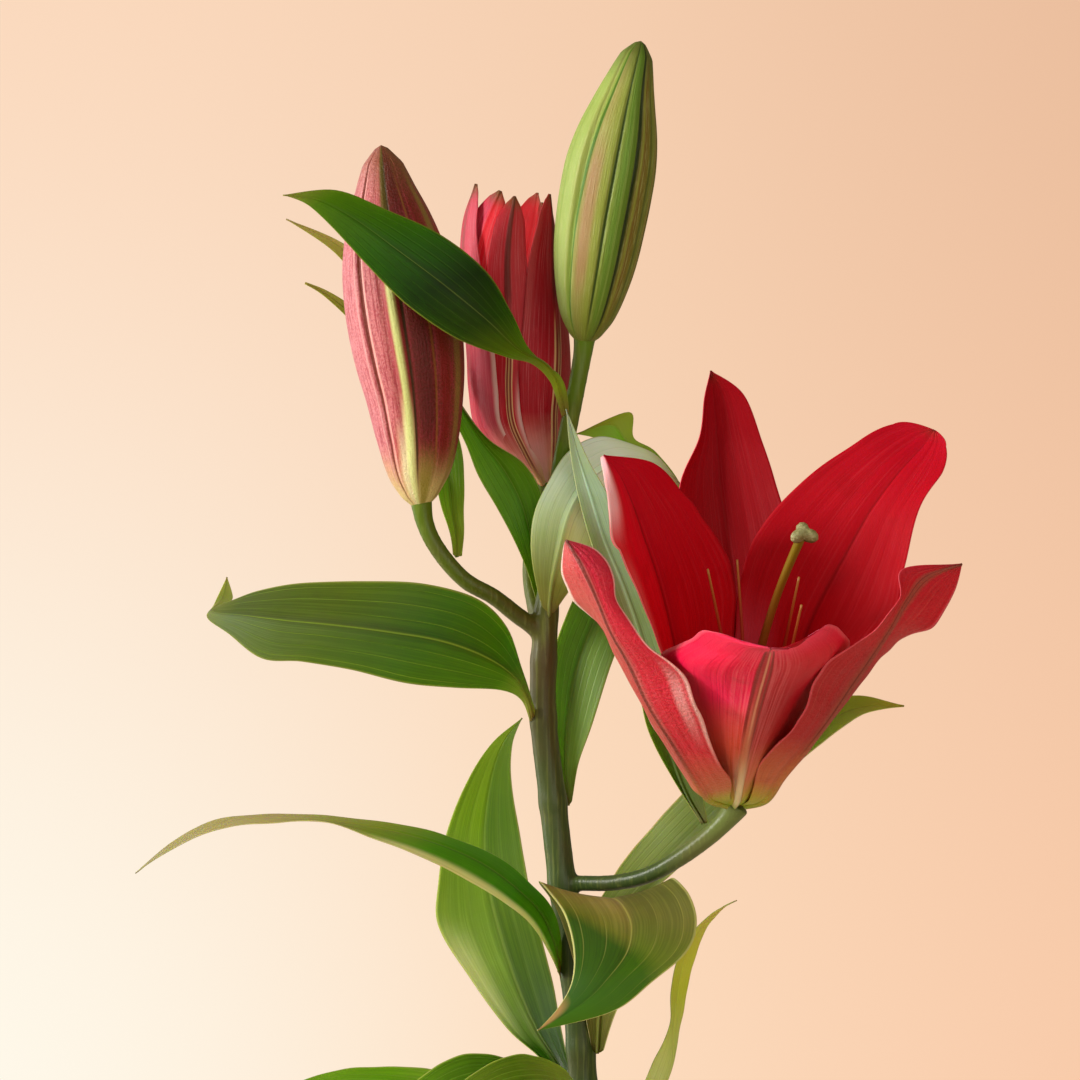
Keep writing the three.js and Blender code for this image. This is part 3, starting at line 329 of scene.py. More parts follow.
def square_to(line, u):
    """Point on a centre line, the way to its right and the way to its back, square to the line."""
    point, ahead = line(u)
    right = Vector((0, 1, 0)).cross(ahead)
    if right.length < 0.1:
        right = Vector((1, 0, 0))
    right.normalize()
    return point, right, ahead.cross(right)


def round_tube(points, outline=None):
    """Surface of a tube along points of X, Y, Z and radius; outline(u, degrees) may change its radius."""
    line = centre_line(points)
    known = {}

    def place(u, v):
        if u not in known:
            known[u] = square_to(line, u)
        point, right, back = known[u]
        angle = math.pi * (v + 1)
        radius = point[3] if outline is None else outline(u, 180 * (v + 1), point[3])
        return point.xyz + (right * math.cos(angle) + back * math.sin(angle)) * radius
    return place


stem_mesh = bmesh.new()
for stalk, rows in ((MAIN_STEM, 260), (LEFT_STALK, 60), (MIDDLE_STALK, 60), (FLOWER_STALK, 70)):
    along = centre_line(stalk)

    def swollen(u, degrees, radius, along=along, stalk=stalk):
        """Radius of the stem, more under each leaf and with faint flats round it."""
        height = along(u)[0][2]
        near = 0
        if stalk is MAIN_STEM:
            near = max(math.exp(-((height - at) / SWELLING_REACH) ** 2) for at in SWELLINGS)
        flats = math.sin(math.radians(5 * degrees))
        return radius * (1 + SWELLING_SHARE * near + FLATS_SHARE * flats)

    part = shaped_sheet(round_tube(stalk, swollen), columns=32, rows=rows, tube=True)
    scratch = bpy.data.meshes.new("stalk")
    part.to_mesh(scratch)
    part.free()
    stem_mesh.from_mesh(scratch)
    bpy.data.meshes.remove(scratch)
stem = finish_mesh("stem_and_stalks", stem_mesh, [], ["stem"])


def stem_finish():
    """Green skin of the stem: fine length lines, grey-brown patches, and painted shade that makes it darker
    under the leaves and at the forks.
    """
    material, tree, shader = new_finish("stem skin")
    place = add(tree, "ShaderNodeTexCoord").outputs["Object"]
    split = add(tree, "ShaderNodeSeparateXYZ", {0: place}).outputs
    mottle = placed(tree, MOTTLE, Patches=70.0, Grain=1300.0)
    lengthwise = add(tree, "ShaderNodeMapping", {"Vector": place, "Scale": (1, 1, 0.05)}).outputs[0]
    noise = add(tree, "ShaderNodeTexNoise", {"Vector": lengthwise, "Scale": 900.0, "Detail": 3.0})
    lines = noise.outputs[0]
    # Colours up the stem by height: the darker band where the leaves sit and at the forks is painted shade.
    greens_with_painted_shade = [(0, 80, 92, 40), (0.5, 60, 78, 34), (0.62, 56, 76, 34), (0.7, 66, 80, 38),
              (0.78, 78, 72, 38), (0.82, 80, 92, 22), (0.9, 86, 116, 16), (1, 96, 128, 20)]
    skin = ramp(tree, times(tree, split[2], 1 / STALKS_TOP), greens_with_painted_shade)
    flower_side = times(tree, rise(tree, split[0], 0.0, 0.026), rise(tree, split[2], 0.32, 0.33))
    skin = over(tree, skin, flower_side, 1.0, (104, 118, 58))
    skin = over(tree, skin, rise(tree, mottle["Patches"], 0.45, 0.7), 0.3, (92, 76, 48))
    skin = over(tree, skin, rise(tree, lines, 0.5, 0.75), 0.3, (134, 146, 70))
    skin = over(tree, skin, rise(tree, mottle["Grain"], 0.62, 0.75), 0.25, (44, 40, 24))
    height = maths(tree, "MULTIPLY_ADD", mottle["Grain"], 0.4, lines)
    coated(tree, shader, (height, 0.5, 0.0003), Base_Color=skin, Specular_IOR_Level=0.3,
           Roughness=maths(tree, "MULTIPLY_ADD", mottle["Patches"], 0.25, 0.25))
    return material


stem.data.materials.append(stem_finish())
fused = stem.modifiers.new("grown together", "REMESH")
fused.mode = "VOXEL"
fused.voxel_size = 0.0009
fused.use_smooth_shade = True
eased = stem.modifiers.new("eased forks", "SMOOTH")
eased.iterations = 4
eased.factor = 0.5


# Leaves on the lower stem
# Lance-shaped leaves grown straight on the stem, a little leathery, with a folded midrib, parallel
# veins and a thin waved margin. The upper face is glossy dark green, the lower one paler and dull.

def veins_group():
    """Lines that run lengthwise at even places across a blade, and one along its midrib."""
    inputs = {"Along": 0.0, "Across": 0.5, "Count": 9.0, "Width": 0.12, "Rib": 0.02}
    group, given, out = new_group("veins", inputs, ["Lines", "Midrib"])
    stretched = add(group, "ShaderNodeCombineXYZ", {0: times(group, given["Along"], 5.0),
                                                    1: times(group, given["Across"], 3.0)}).outputs[0]
    sway = add(group, "ShaderNodeTexNoise", {"Vector": stretched, "Scale": 1.0, "Detail": 1.0}).outputs[0]
    moved = maths(group, "MULTIPLY_ADD", maths(group, "SUBTRACT", sway, 0.5), 0.03, given["Across"])
    place = maths(group, "FRACT", times(group, moved, given["Count"]))
    off = maths(group, "ABSOLUTE", maths(group, "SUBTRACT", place, 0.5))
    group.links.new(rise(group, off, given["Width"], 0.0), out["Lines"])
    off = maths(group, "ABSOLUTE", maths(group, "SUBTRACT", given["Across"], 0.5))
    width = times(group, given["Rib"], maths(group, "SUBTRACT", 1.25, given["Along"]))
    group.links.new(rise(group, off, width, 0.0), out["Midrib"])
    return group


def streaks_group():
    """Uneven fine streaks that run lengthwise on a blade, about 0.5."""
    group, given, out = new_group("streaks", {"Along": 0.0, "Across": 0.5, "Count": 60.0}, ["Streaks"])
    along = times(group, given["Along"], 3.0)
    across = times(group, given["Across"], given["Count"])
    stretched = add(group, "ShaderNodeCombineXYZ", {0: along, 1: across}).outputs[0]
    noise = add(group, "ShaderNodeTexNoise", {"Vector": stretched, "Scale": 1.0, "Detail": 3.0,
                                              "Roughness": 0.6})
    group.links.new(noise.outputs[0], out["Streaks"])
    return group


VEINS = veins_group()
STREAKS = streaks_group()


def on_chart(tree):
    """Places along (0 base, 1 tip) and across (0 left, 1 right) on a piece's own UV map."""
    chart = add(tree, "ShaderNodeUVMap", uv_map="UVMap").outputs[0]
    split = add(tree, "ShaderNodeSeparateXYZ", {0: chart})
    return split.outputs[0], split.outputs[1]


BAND_EASE = 0.07


def banded(tree, u, v, skin, bands, around=False):
    """Lengthwise bands over a skin, each its place across at the base and at the tip, its half width,
    colour and share, and where it starts and ends. Around is for places that go round a bud."""
    for foot, top, half, colour, share, low, high in bands:
        off = maths(tree, "SUBTRACT", v, maths(tree, "MULTIPLY_ADD", u, top - foot, foot))
        if around:
            off = maths(tree, "SUBTRACT", maths(tree, "FRACT", maths(tree, "ADD", off, 1.5)), 0.5)
        mask = rise(tree, maths(tree, "ABSOLUTE", off), half, half * 0.3)
        mask = times(tree, mask, rise(tree, u, low - BAND_EASE, low + BAND_EASE))
        mask = times(tree, mask, rise(tree, u, high + BAND_EASE, high - BAND_EASE))
        skin = over(tree, skin, mask, share, colour)
    return skin


def leaf_finish(name, left, right=None, vein=(150, 164, 84), veins=0.12, count=9.0, line=0.12, gloss=0.45,
                relief=1.0, rim=(168, 170, 92), rims=0.5, glint=0.22, slant=0.0, bands=()):
    """One face of a leaf: colours from base to tip on its left and right halves, bands, veins, margin.
    With a slant the colours change later on the left than on the right."""
    material, tree, shader = new_finish(name)
    u, v = on_chart(tree)
    off = maths(tree, "SUBTRACT", v, 0.5)
    along = maths(tree, "MULTIPLY_ADD", off, slant, u)
    to_tip = rise(tree, u, 0.96, 0.66)
    mottle = placed(tree, MOTTLE, Patches=65.0, Grain=1400.0)
    lines = placed(tree, VEINS, Along=u, Across=v, Count=count, Width=line, Rib=0.02)
    streaks = placed(tree, STREAKS, Along=u, Across=v, Count=46.0)["Streaks"]
    halves = ramp(tree, along, left), ramp(tree, along, right or left)
    green = mixed(tree, rise(tree, v, 0.44, 0.56), *halves)
    green = banded(tree, u, v, green, bands)
    green = over(tree, green, rise(tree, mottle["Patches"], 0.35, 0.75), 0.3, (160, 160, 60), "SOFT_LIGHT")
    dark = times(tree, rise(tree, streaks, 0.62, 0.4), to_tip)
    green = over(tree, green, dark, 0.3, (30, 60, 0), "SOFT_LIGHT")
    broken = times(tree, times(tree, lines["Lines"], rise(tree, streaks, 0.3, 0.55)), to_tip)
    green = over(tree, green, broken, veins, vein)
    green = over(tree, green, times(tree, lines["Midrib"], to_tip), min(1, 0.2 + veins), vein)
    green = over(tree, green, rise(tree, maths(tree, "ABSOLUTE", off), 0.476, 0.494), rims, rim)
    height = maths(tree, "MULTIPLY_ADD", lines["Lines"], -0.5, times(tree, streaks, 0.35))
    height = times(tree, maths(tree, "MULTIPLY_ADD", mottle["Grain"], 0.15, height), to_tip)
    coated(tree, shader, (height, 0.5 * relief, 0.0003), Base_Color=green, Specular_IOR_Level=glint,
           Roughness=maths(tree, "MULTIPLY_ADD", mottle["Patches"], 0.2, gloss - 0.1),
           Subsurface_Weight=0.3, Subsurface_Radius=(0.5, 1, 0.05), Subsurface_Scale=0.003)
    return material


def through_stations(stations, crease, relief, blunt=0.0):
    """Surface through a blade's left margin, midrib and right margin; relief(u, v) is added upwards.
    Blunt is 0 for a pointed apex and 1 for a round one."""
    last = (len(stations) - 2) / (len(stations) - 1)
    rails = [[Vector(station[min(k, len(station) - 1)]) for station in stations] for k in range(3)]
    known = {}

    def row(u):
        left, middle, right = (between(rail, u) for rail in rails)
        ahead = (between(rails[1], min(u + 0.02, 1)) - between(rails[1], max(u - 0.02, 0))).normalized()
        across = right - left
        across -= ahead * across.dot(ahead)
        if blunt and last < u < 1:
            t = (u - last) / (1 - last)
            fuller = 1 + blunt * (math.sqrt((1 + t) / (1 - t)) - 1)
            left, right = middle + (left - middle) * fuller, middle + (right - middle) * fuller
        if across.length < 0.3:
            low = 1 - 0.6 / (len(stations) - 1)
            across = between(rails[2], low) - between(rails[0], low)
            across = (across - ahead * across.dot(ahead)).normalized() * 0.15
            left, right = middle - across, middle + across
        return left, middle, right, (right - left).cross(ahead).normalized()

    def place(u, v):
        if u not in known:
            known[u] = row(u)
        left, middle, right, upward = known[u]
        point = middle * (crease * (1 - abs(v)) + (1 - crease) * (1 - v * v))
        point += left * (crease * max(-v, 0) + (1 - crease) * (v * v - v) / 2)
        point += right * (crease * max(v, 0) + (1 - crease) * (v * v + v) / 2)
        return point + upward * relief(u, v)
    return place


def along_midrib(route, facing, widths, fold, curl, relief):
    """Surface along a blade's midrib, folded there and curled to its margins."""
    line = centre_line(route)
    facings = [Vector(way) for way in facing]
    known = {}

    def place(u, v):
        if u not in known:
            centre, ahead = line(u)
            up = between(facings, u)
            up = (up - ahead * up.dot(ahead)).normalized()
            known[u] = (centre, ahead.cross(up), up, max(between(widths, u), 0.15),
                        between(fold, u), max(between(curl, u), 0.02))
        centre, side, up, width, folded, curled = known[u]
        turn = folded + abs(v) * curled
        out = math.copysign(width * (math.sin(turn) - math.sin(folded)) / curled, v)
        lift = width * (math.cos(folded) - math.cos(turn)) / curled
        return centre + side * out + up * (lift + relief(u, v))
    return place


def margin_wave(u, v, wave, ripples, high, side):
    """Height of a blade's waves, none at its ends: broad ones over it, by a height, a count and a phase,
    and ripples at its margin, each a pitch, a share of their full height and a lag."""
    height, count, phase = wave
    broad = height * v * v * math.sin(2 * math.pi * count * u + phase + (1.3 if v > 0 else 0))
    small = high * sum(share * math.sin(pitch * u + lag * side) for pitch, share, lag in ripples)
    return (broad + small) * min(1, 4 * u * (1 - u))


def ridge(u, off, height, width, fade):
    """Height of a ridge or groove along a blade at a distance off it, lower towards the tip."""
    return height * math.exp(-(off / width) ** 2) * (1 - fade * u)


def blade(name, place, columns, rows, thickness, faces, slot, node):
    """Leaf or tepal: its upper face on the surface, thick at the midrib and thin at its margin and tip."""
    off_rib, rib_width, thinner_rib = 0.45, 0.12, 0.7
    thinner_margin, thinner_tip, tip_length = 0.35, 0.4, 0.125
    bm = shaped_sheet(place, columns, rows)
    body = bm.verts.layers.deform.verify()
    chart = bm.loops.layers.uv.active
    for face in bm.faces:
        for corner in face.loops:
            u, across = corner[chart].uv
            off = abs(2 * across - 1)
            full = off_rib + (1 - off_rib) * math.exp(-(off / rib_width) ** 2) * (1 - thinner_rib * u)
            full *= 1 - thinner_margin * off ** 4
            corner.vert[body][0] = full * (1 - thinner_tip * max(0, 1 - (1 - u) / tip_length))
    piece = finish_mesh(name, bm, faces, [node])
    piece.vertex_groups.new(name="body")
    wall = piece.modifiers.new("thickness", "SOLIDIFY")
    wall.thickness = thickness / 1000
    wall.offset = -1
    wall.vertex_group = "body"
    wall.material_offset = 1
    wall.material_offset_rim = 1
    return piece


LEAF_THICKNESS = 0.75
LEAF_GRID = 40, 88
LEAF_RIPPLES = [(15, 1, 1), (34, 0.6, 2), (71, 0.3, 3)]
LEAF_FOLD = [0.3, 0.2, 0.1]


def leaf(name, upper, lower, stations=None, crease=0.4, wave=(0.3, 2, 0), slot="leaf",
         route=None, facing=None, widths=None):
    """A leaf with its two faces, from its stations or along its midrib."""
    def relief(u, v):
        side = wave[2] + (2.1 if v > 0 else 0)
        waves = margin_wave(u, v, wave, LEAF_RIPPLES, 0.25 * abs(v) ** 3, side)
        return waves - ridge(u, v, height=0.45, width=0.06, fade=0.8)

    if stations:
        place = through_stations(stations, crease, relief)
    else:
        place = along_midrib(route, facing, widths, LEAF_FOLD, LEAF_FOLD, relief)
    faces = [leaf_finish(name + " upper face", **upper), leaf_finish(name + " lower face", **lower)]
    return blade(name + "_blade", place, *LEAF_GRID, LEAF_THICKNESS, faces, slot, name)


UNDERSIDE = {"left": [(0, 110, 120, 44), (0.4, 124, 146, 76), (0.9, 136, 154, 92), (1, 150, 140, 90)],
             "gloss": 0.6}
leaf(
    "leaf_low_far_left",
    {"left": [(0, 120, 110, 50), (0.3, 128, 140, 60), (0.55, 96, 140, 10), (1, 96, 116, 20)]},
    UNDERSIDE,
    route=[(-17.9, -2, 236.6), (-28.8, -3, 247.5), (-48, -3, 257.7), (-70.4, -3, 264.8),
           (-94.4, -2, 267.9), (-113.6, 1, 264.5), (-136.2, 5, 253.6)],
    facing=[(-0.5, -0.4, 0.8), (-0.3, -0.4, 0.9), (0, -0.3, 0.95), (0.2, -0.3, 0.95)],
    widths=[2, 7, 10.6, 12.4, 12.4, 10.8, 8, 4.6, 0.4], wave=(0.4, 2, 0))

leaf(
    "leaf_low_left",
    {"left": [(0, 110, 110, 40), (0.25, 64, 96, 8), (0.6, 84, 120, 18), (1, 110, 116, 40)]},
    UNDERSIDE,
    route=[(-17.9, -3, 252.3), (-24, -9, 260.4), (-32.6, -17, 267.4), (-43.1, -25, 270.8),
           (-54.7, -32, 269.7), (-66.7, -38, 263.8), (-78.6, -42, 253.4), (-90.2, -44, 238.5)],
    facing=[(-0.4, -0.5, 0.8), (-0.2, -0.5, 0.85), (-0.2, -0.6, 0.8), (-0.5, -0.6, 0.6)],
    widths=[2, 7, 11, 13, 13, 11.4, 8.6, 5, 0.4], wave=(0.4, 2, 0))

leaf(
    "leaf_low_front",
    {"left": [(0, 130, 120, 50), (0.35, 150, 158, 60), (0.5, 92, 116, 20), (1, 100, 112, 30)]},
    UNDERSIDE,
    route=[(-17.3, -4, 244.7), (-16.7, -13, 257.5), (-20, -25, 267.6), (-29.5, -37, 272.6),
           (-42.1, -46, 271.9), (-53.9, -52, 265.4), (-64.9, -55, 251.9), (-73.3, -56, 234.8)],
    facing=[(0, -0.9, 0.4), (-0.1, -0.6, 0.8), (-0.2, -0.6, 0.8), (-0.5, -0.7, 0.5)],
    widths=[2, 6, 9, 10.4, 10.4, 9, 7, 4, 0.4], wave=(0.4, 2, 0))

# The low right leaf's upper face is painted far paler than its own green, as painted light.
leaf(
    "leaf_low_right",
    {"left": [(0, 130, 130, 60), (0.3, 200, 208, 140), (0.55, 198, 200, 70), (1, 200, 176, 100)],
     "gloss": 0.6},
    UNDERSIDE,
    stations=[
        ((-14.1, 2, 234.6), (-12.1, 3, 233.9), (-10.5, 4, 234.8)),
        ((-8.9, 3, 247.4), (-3.8, 6, 247.1), (-1.2, 9, 248.2)),
        ((-1.9, 3, 261.8), (4.9, 8, 261.4), (6.3, 12, 262.7)),
        ((4.8, 2, 275.6), (10.4, 9, 274.2), (11.1, 13, 275.5)),
        ((9.6, 3, 287.4), (11, 8, 285.5), (13.3, 12, 288.5)),
        ((10, 4, 300.2), (12.6, 8, 299.3), (15.9, 11, 300.4)),
        ((12.9, 4, 310.7), (15.2, 7, 310.6), (18.7, 9, 311.1)),
        ((18.9, 2, 319.2), (20.2, 4, 318.8), (22.2, 6, 319.3)),
        ((25, 0, 324.4), (25.9, 1, 324.4), (26.9, 2, 324.9)),
        ((31, -2, 327.4),)],
    crease=0.5, wave=(0.2, 2, 0))


# Leaves at the middle of the stem
# The long leaf arches out to the left, the broad tall one stands behind the stem, and the front one
# is rolled forward and down so that its tip points back past the stem.

# The tall leaf's left half is painted lighter than its right as painted light, and its two pale bands are a
# painted sheen.
leaf(
    "leaf_tall_left",
    {"left": [(0, 50, 60, 16), (0.15, 40, 62, 6), (0.38, 130, 158, 66), (0.7, 110, 144, 14),
              (1, 96, 116, 10)],
     "right": [(0, 50, 60, 16), (0.2, 40, 66, 4), (0.5, 80, 108, 16), (0.7, 70, 102, 0), (1, 80, 104, 4)],
     "count": 5.0, "line": 0.3, "veins": 0.06, "vein": (140, 160, 80),
     "bands": [(0.0, 0.0, 0.34, (204, 214, 156), 0.7, 0.22, 0.42),
               (0.42, 0.46, 0.1, (190, 200, 134), 0.2, 0.1, 0.3)]},
    UNDERSIDE,
    stations=[
        ((-23.7, 5, 265.8), (-21.1, 4, 264.6), (-19.2, 5, 265.8)),
        ((-32, 11, 276.3), (-26.5, 12, 275), (-23, 9, 275.8)),
        ((-42.6, 16, 285.6), (-33, 17, 284.9), (-25.6, 12, 286.9)),
        ((-55.2, 21, 302.1), (-39.4, 21, 299.2), (-27.8, 15, 299.5)),
        ((-65, 24, 318.4), (-44.9, 24, 315.2), (-31.4, 17, 313.9)),
        ((-64.6, 25, 332.9), (-48.8, 25, 331.3), (-35.5, 17, 330.7)),
        ((-61.7, 25, 349.7), (-50.1, 25, 346.5), (-38.4, 18, 346.8)),
        ((-55.2, 22, 365.6), (-48.1, 22, 363.7), (-41.3, 17, 363.9)),
        ((-47.5, 18, 377.4), (-44.2, 17, 376.8), (-41, 15, 376.8)),
        ((-37.8, 13, 385.5),)],
    crease=0.45, wave=(0.5, 2, 0))

leaf(
    "leaf_long_left",
    {"left": [(0, 120, 70, 20), (0.08, 84, 112, 8), (0.25, 56, 112, 0), (0.42, 76, 136, 2),
              (0.53, 136, 148, 44), (0.7, 170, 154, 104), (1, 132, 124, 92)], "rim": (214, 206, 160),
     "rims": 0.3, "veins": 0.06, "relief": 0.2,
     "bands": [(0.0, 0.0, 0.2, (220, 218, 170), 0.9, 0.06, 0.5)]},
    {"left": [(0, 120, 80, 40), (0.1, 178, 180, 110), (0.5, 196, 190, 140), (0.75, 166, 150, 106),
              (1, 132, 124, 92)], "gloss": 0.6, "veins": 0.05, "rims": 0.1, "relief": 0.2},
    stations=[
        ((-25.3, -4, 302.9), (-25.3, -2, 304.7), (-24.6, -2, 306.9)),
        ((-28.5, -12, 310.3), (-26.9, -8, 313.3), (-25.6, -5, 317.6)),
        ((-34.2, -21, 320), (-31, -14, 323.5), (-28.5, -8, 326.4)),
        ((-42.4, -30, 327.7), (-38, -21, 331.4), (-35.2, -13, 333.9)),
        ((-54.1, -38, 335.7), (-48.8, -28, 340), (-44.7, -19, 341.8)),
        ((-68.2, -44, 342.8), (-62.3, -33, 346.5), (-57.4, -24, 347.4)),
        ((-83.8, -47, 348.9), (-77.7, -36, 351), (-72.5, -28, 352)),
        ((-99.5, -48, 354), (-93.5, -38, 353.9), (-88.9, -31, 354.9)),
        ((-113.7, -46, 354.2), (-109.2, -38, 355.2), (-105.3, -32, 356.2)),
        ((-128, -42, 353.1), (-124.7, -36, 354.8), (-121.1, -31, 356.2)),
        ((-140.9, -35, 349.1), (-138.5, -31, 351.5), (-135.8, -28, 353.9)),
        ((-152.2, -28, 342.8), (-150.8, -26, 344.6), (-149.2, -25, 346.8)),
        ((-160.4, -23, 337.2),)],
    crease=0.4, wave=(0.2, 2, 0))

# The front leaf's tan-brown upper part is a painted reflection of the warm light on it, and its saturated
# green below, split off on a slant, is a painted shadow of the long leaf.
leaf(
    "leaf_curled_front",
    {"left": [(0, 90, 84, 30), (0.4, 98, 94, 44), (0.52, 106, 100, 46), (0.66, 92, 104, 26),
              (0.71, 54, 86, 0), (0.95, 54, 98, 0), (1, 150, 116, 70)],
     "right": [(0, 90, 84, 30), (0.4, 156, 138, 92), (0.55, 140, 122, 66), (0.66, 106, 104, 34),
               (0.71, 50, 76, 0), (0.95, 40, 78, 0), (1, 150, 116, 70)], "count": 5.0, "line": 0.04,
     "veins": 0.35, "relief": 0.3, "vein": (156, 150, 74), "rim": (190, 190, 120), "rims": 0.9,
     "gloss": 0.6, "slant": 0.22},
    {"left": [(0, 84, 72, 22), (0.1, 110, 104, 38), (0.3, 150, 160, 100), (1, 150, 160, 100)],
     "gloss": 0.6, "rim": (200, 196, 130), "rims": 0.8},
    stations=[
        ((-11.6, -5, 279.9), (-13.5, -3, 278.8), (-15.4, -3, 279.8)),
        ((-8.1, -9, 291.3), (-12.8, -6, 292.8), (-18.3, -6, 294.4)),
        ((-0.8, -12, 307.5), (-11.9, -9, 308.9), (-21.8, -8, 310.4)),
        ((6.2, -16, 324.5), (-11, -12, 323.4), (-26.9, -10, 325.5)),
        ((9.2, -24, 335.4), (-10.1, -20, 329.2), (-32.3, -17, 333.8)),
        ((14.7, -33, 331.3), (-6.4, -30, 328), (-29.1, -25, 331.3)),
        ((17.4, -40, 322.8), (-3.3, -38, 321.8), (-24.4, -34, 324.7)),
        ((14.2, -45, 313.6), (-4.6, -44, 313.6), (-21.6, -41, 314.4)),
        ((3.1, -49, 304.1), (-10.4, -50, 305.8), (-22, -47, 304.3)),
        ((-9.4, -52, 294.9), (-18.5, -53, 297.8), (-26.4, -51, 296.1)),
        ((-32.9, -54, 289.1),)],
    crease=0.25, wave=(0.2, 2, 1))

# The back right leaf's pale grey-green middle is a painted sheen; its darker green tip is the leaf's own
# colour.
leaf(
    "leaf_back_right",
    {"left": [(0, 80, 70, 30), (0.2, 142, 152, 90), (0.45, 160, 176, 120), (0.75, 110, 124, 30),
              (1, 140, 116, 40)], "rim": (190, 160, 116), "rims": 0.8},
    UNDERSIDE,
    route=[(-20.5, 1, 314.7), (-15.3, 5, 317.8), (-8.2, 9, 323.7), (1.8, 14, 334), (14.8, 20, 346.7),
           (29.4, 26, 360.4), (45.8, 31, 374.1), (60.4, 34, 383.8), (71.8, 35, 388.6), (86, 32, 389)],
    facing=[(-0.3, -0.7, 0.6), (-0.3, -0.7, 0.6), (-0.2, -0.7, 0.7), (0, -0.6, 0.8)],
    widths=[2, 6, 9.6, 11.4, 11.6, 11, 9, 6, 0.4], wave=(0.5, 2, 0))


# Leaves below the flower stalks
# Four leaves where the stalks divide: one broad and level to the left, two that stand up behind the
# stem, and a slim one at the left bud's stalk.

# The broad leaf's grey-green towards its tip, paler on its left half, is a painted sheen, and its darker
# right half is painted shade.
leaf(
    "leaf_broad_left",
    {"left": [(0, 140, 120, 60), (0.06, 160, 176, 70), (0.2, 72, 114, 2), (0.4, 64, 100, 0),
              (0.56, 90, 108, 36), (0.75, 106, 118, 84), (1, 170, 164, 90)],
     "right": [(0, 140, 120, 60), (0.06, 130, 140, 50), (0.2, 56, 92, 0), (0.4, 56, 90, 0),
               (0.56, 86, 96, 30), (0.75, 84, 92, 52), (1, 150, 150, 74)], "count": 7.0, "line": 0.05,
     "veins": 0.45, "vein": (140, 164, 50)},
    UNDERSIDE,
    stations=[
        ((-35.2, -2, 384.6), (-34.2, -4, 385.9), (-33.3, -3, 387.8)),
        ((-38.1, -9, 391.8), (-36.1, -11, 392.8), (-35.2, -8, 394)),
        ((-44.7, -18, 395.1), (-40.6, -17, 399.9), (-37.7, -12, 402.4)),
        ((-58.9, -27, 396), (-49.7, -24, 406), (-42.2, -17, 414.8)),
        ((-74.6, -34, 397.7), (-63, -30, 410.9), (-51.7, -22, 424.1)),
        ((-91.2, -38, 401.8), (-79.3, -35, 413.8), (-68.7, -27, 428.9)),
        ((-106.9, -41, 404.4), (-96.6, -39, 416), (-88.3, -31, 429.8)),
        ((-119.5, -42, 405.4), (-112.6, -41, 417.6), (-107.8, -34, 429.2)),
        ((-129.9, -41, 413.2), (-125.5, -40, 419.2), (-121.6, -35, 426.7)),
        ((-136.9, -39, 418.5), (-135.4, -37, 420.4), (-131.7, -34, 422.9)),
        ((-134.9, -33, 422.6), (-132.5, -31, 424.2), (-129.1, -30, 424.5)),
        ((-131, -28, 431.1),)],
    crease=0.4, wave=(0.3, 2, 0))

# The upright leaf's right half is painted lighter than its left, a painted sheen.
leaf(
    "leaf_back_upright",
    {"left": [(0, 90, 80, 30), (0.1, 84, 106, 34), (0.25, 92, 124, 56), (0.6, 112, 150, 70),
              (0.85, 130, 176, 24), (1, 130, 150, 40)],
     "right": [(0, 90, 80, 30), (0.1, 130, 160, 76), (0.25, 118, 146, 76), (0.6, 120, 150, 60),
               (0.85, 150, 170, 50), (1, 140, 140, 40)]},
    UNDERSIDE,
    stations=[
        ((-23.7, 3, 359.2), (-22.7, 4, 357.9), (-21.7, 5, 359.1)),
        ((-26.2, 6, 371.6), (-23.7, 9, 369.6), (-19.8, 8, 370.6)),
        ((-27.8, 9, 388.2), (-23, 13, 385.5), (-15.3, 10, 383.4)),
        ((-27.5, 12, 405.8), (-19.8, 16, 402.5), (-9.2, 13, 402.6)),
        ((-23, 15, 419.6), (-13.9, 19, 417.7), (-3.7, 16, 415.4)),
        ((-16.5, 18, 433.1), (-6.8, 22, 431.5), (4.1, 20, 429.9)),
        ((-10.7, 21, 446), (-1, 25, 446), (10.6, 24, 444.4)),
        ((-5.5, 23, 455.7), (2.9, 27, 458.3), (14.3, 27, 458.3)),
        ((-3.6, 24, 464.8), (1.6, 27, 468.7), (5.9, 28, 471)),
        ((-7.4, 24, 471.2), (-4.2, 26, 474.8), (-1.6, 27, 475.8)),
        ((-13.3, 24, 475.4), (-9.1, 25, 480), (-3.2, 26, 484.2)),
        ((-20.1, 22, 477),)],
    crease=0.45, wave=(0.4, 2, 1))

leaf(
    "leaf_slim_left",
    {"left": [(0, 110, 96, 30), (0.2, 84, 130, 0), (0.6, 92, 136, 0), (0.9, 160, 146, 76),
              (1, 150, 130, 80)]},
    UNDERSIDE,
    stations=[
        ((-33, 1, 423), (-31.7, 2, 421.7), (-30.4, 3, 423.3)),
        ((-36.2, 3, 433.2), (-33.3, 4, 433.2), (-31, 4, 434.8)),
        ((-40.3, 5, 442.8), (-35.2, 6, 444.4), (-31, 5, 446.6)),
        ((-45.8, 7, 453.1), (-38.4, 8, 455.6), (-31.7, 7, 457.9)),
        ((-51.9, 9, 463.7), (-43.9, 11, 465.9), (-37.5, 9, 467.5)),
        ((-56.4, 12, 475), (-52, 14, 476.3), (-48.1, 12, 474.6)),
        ((-64.2, 14, 489.5), (-60.3, 16, 490.1), (-56.5, 14, 484.6)),
        ((-75.5, 16, 505.6), (-71.6, 18, 506.3), (-67.4, 16, 503.3)),
        ((-87.4, 18, 521.8), (-84.2, 19, 523.4), (-80.3, 18, 522.1)),
        ((-98.4, 19, 535.7), (-96.2, 20, 537.3), (-93.9, 19, 537.3)),
        ((-113.9, 20, 546.3),)],
    crease=0.5, wave=(0.3, 2, 0))
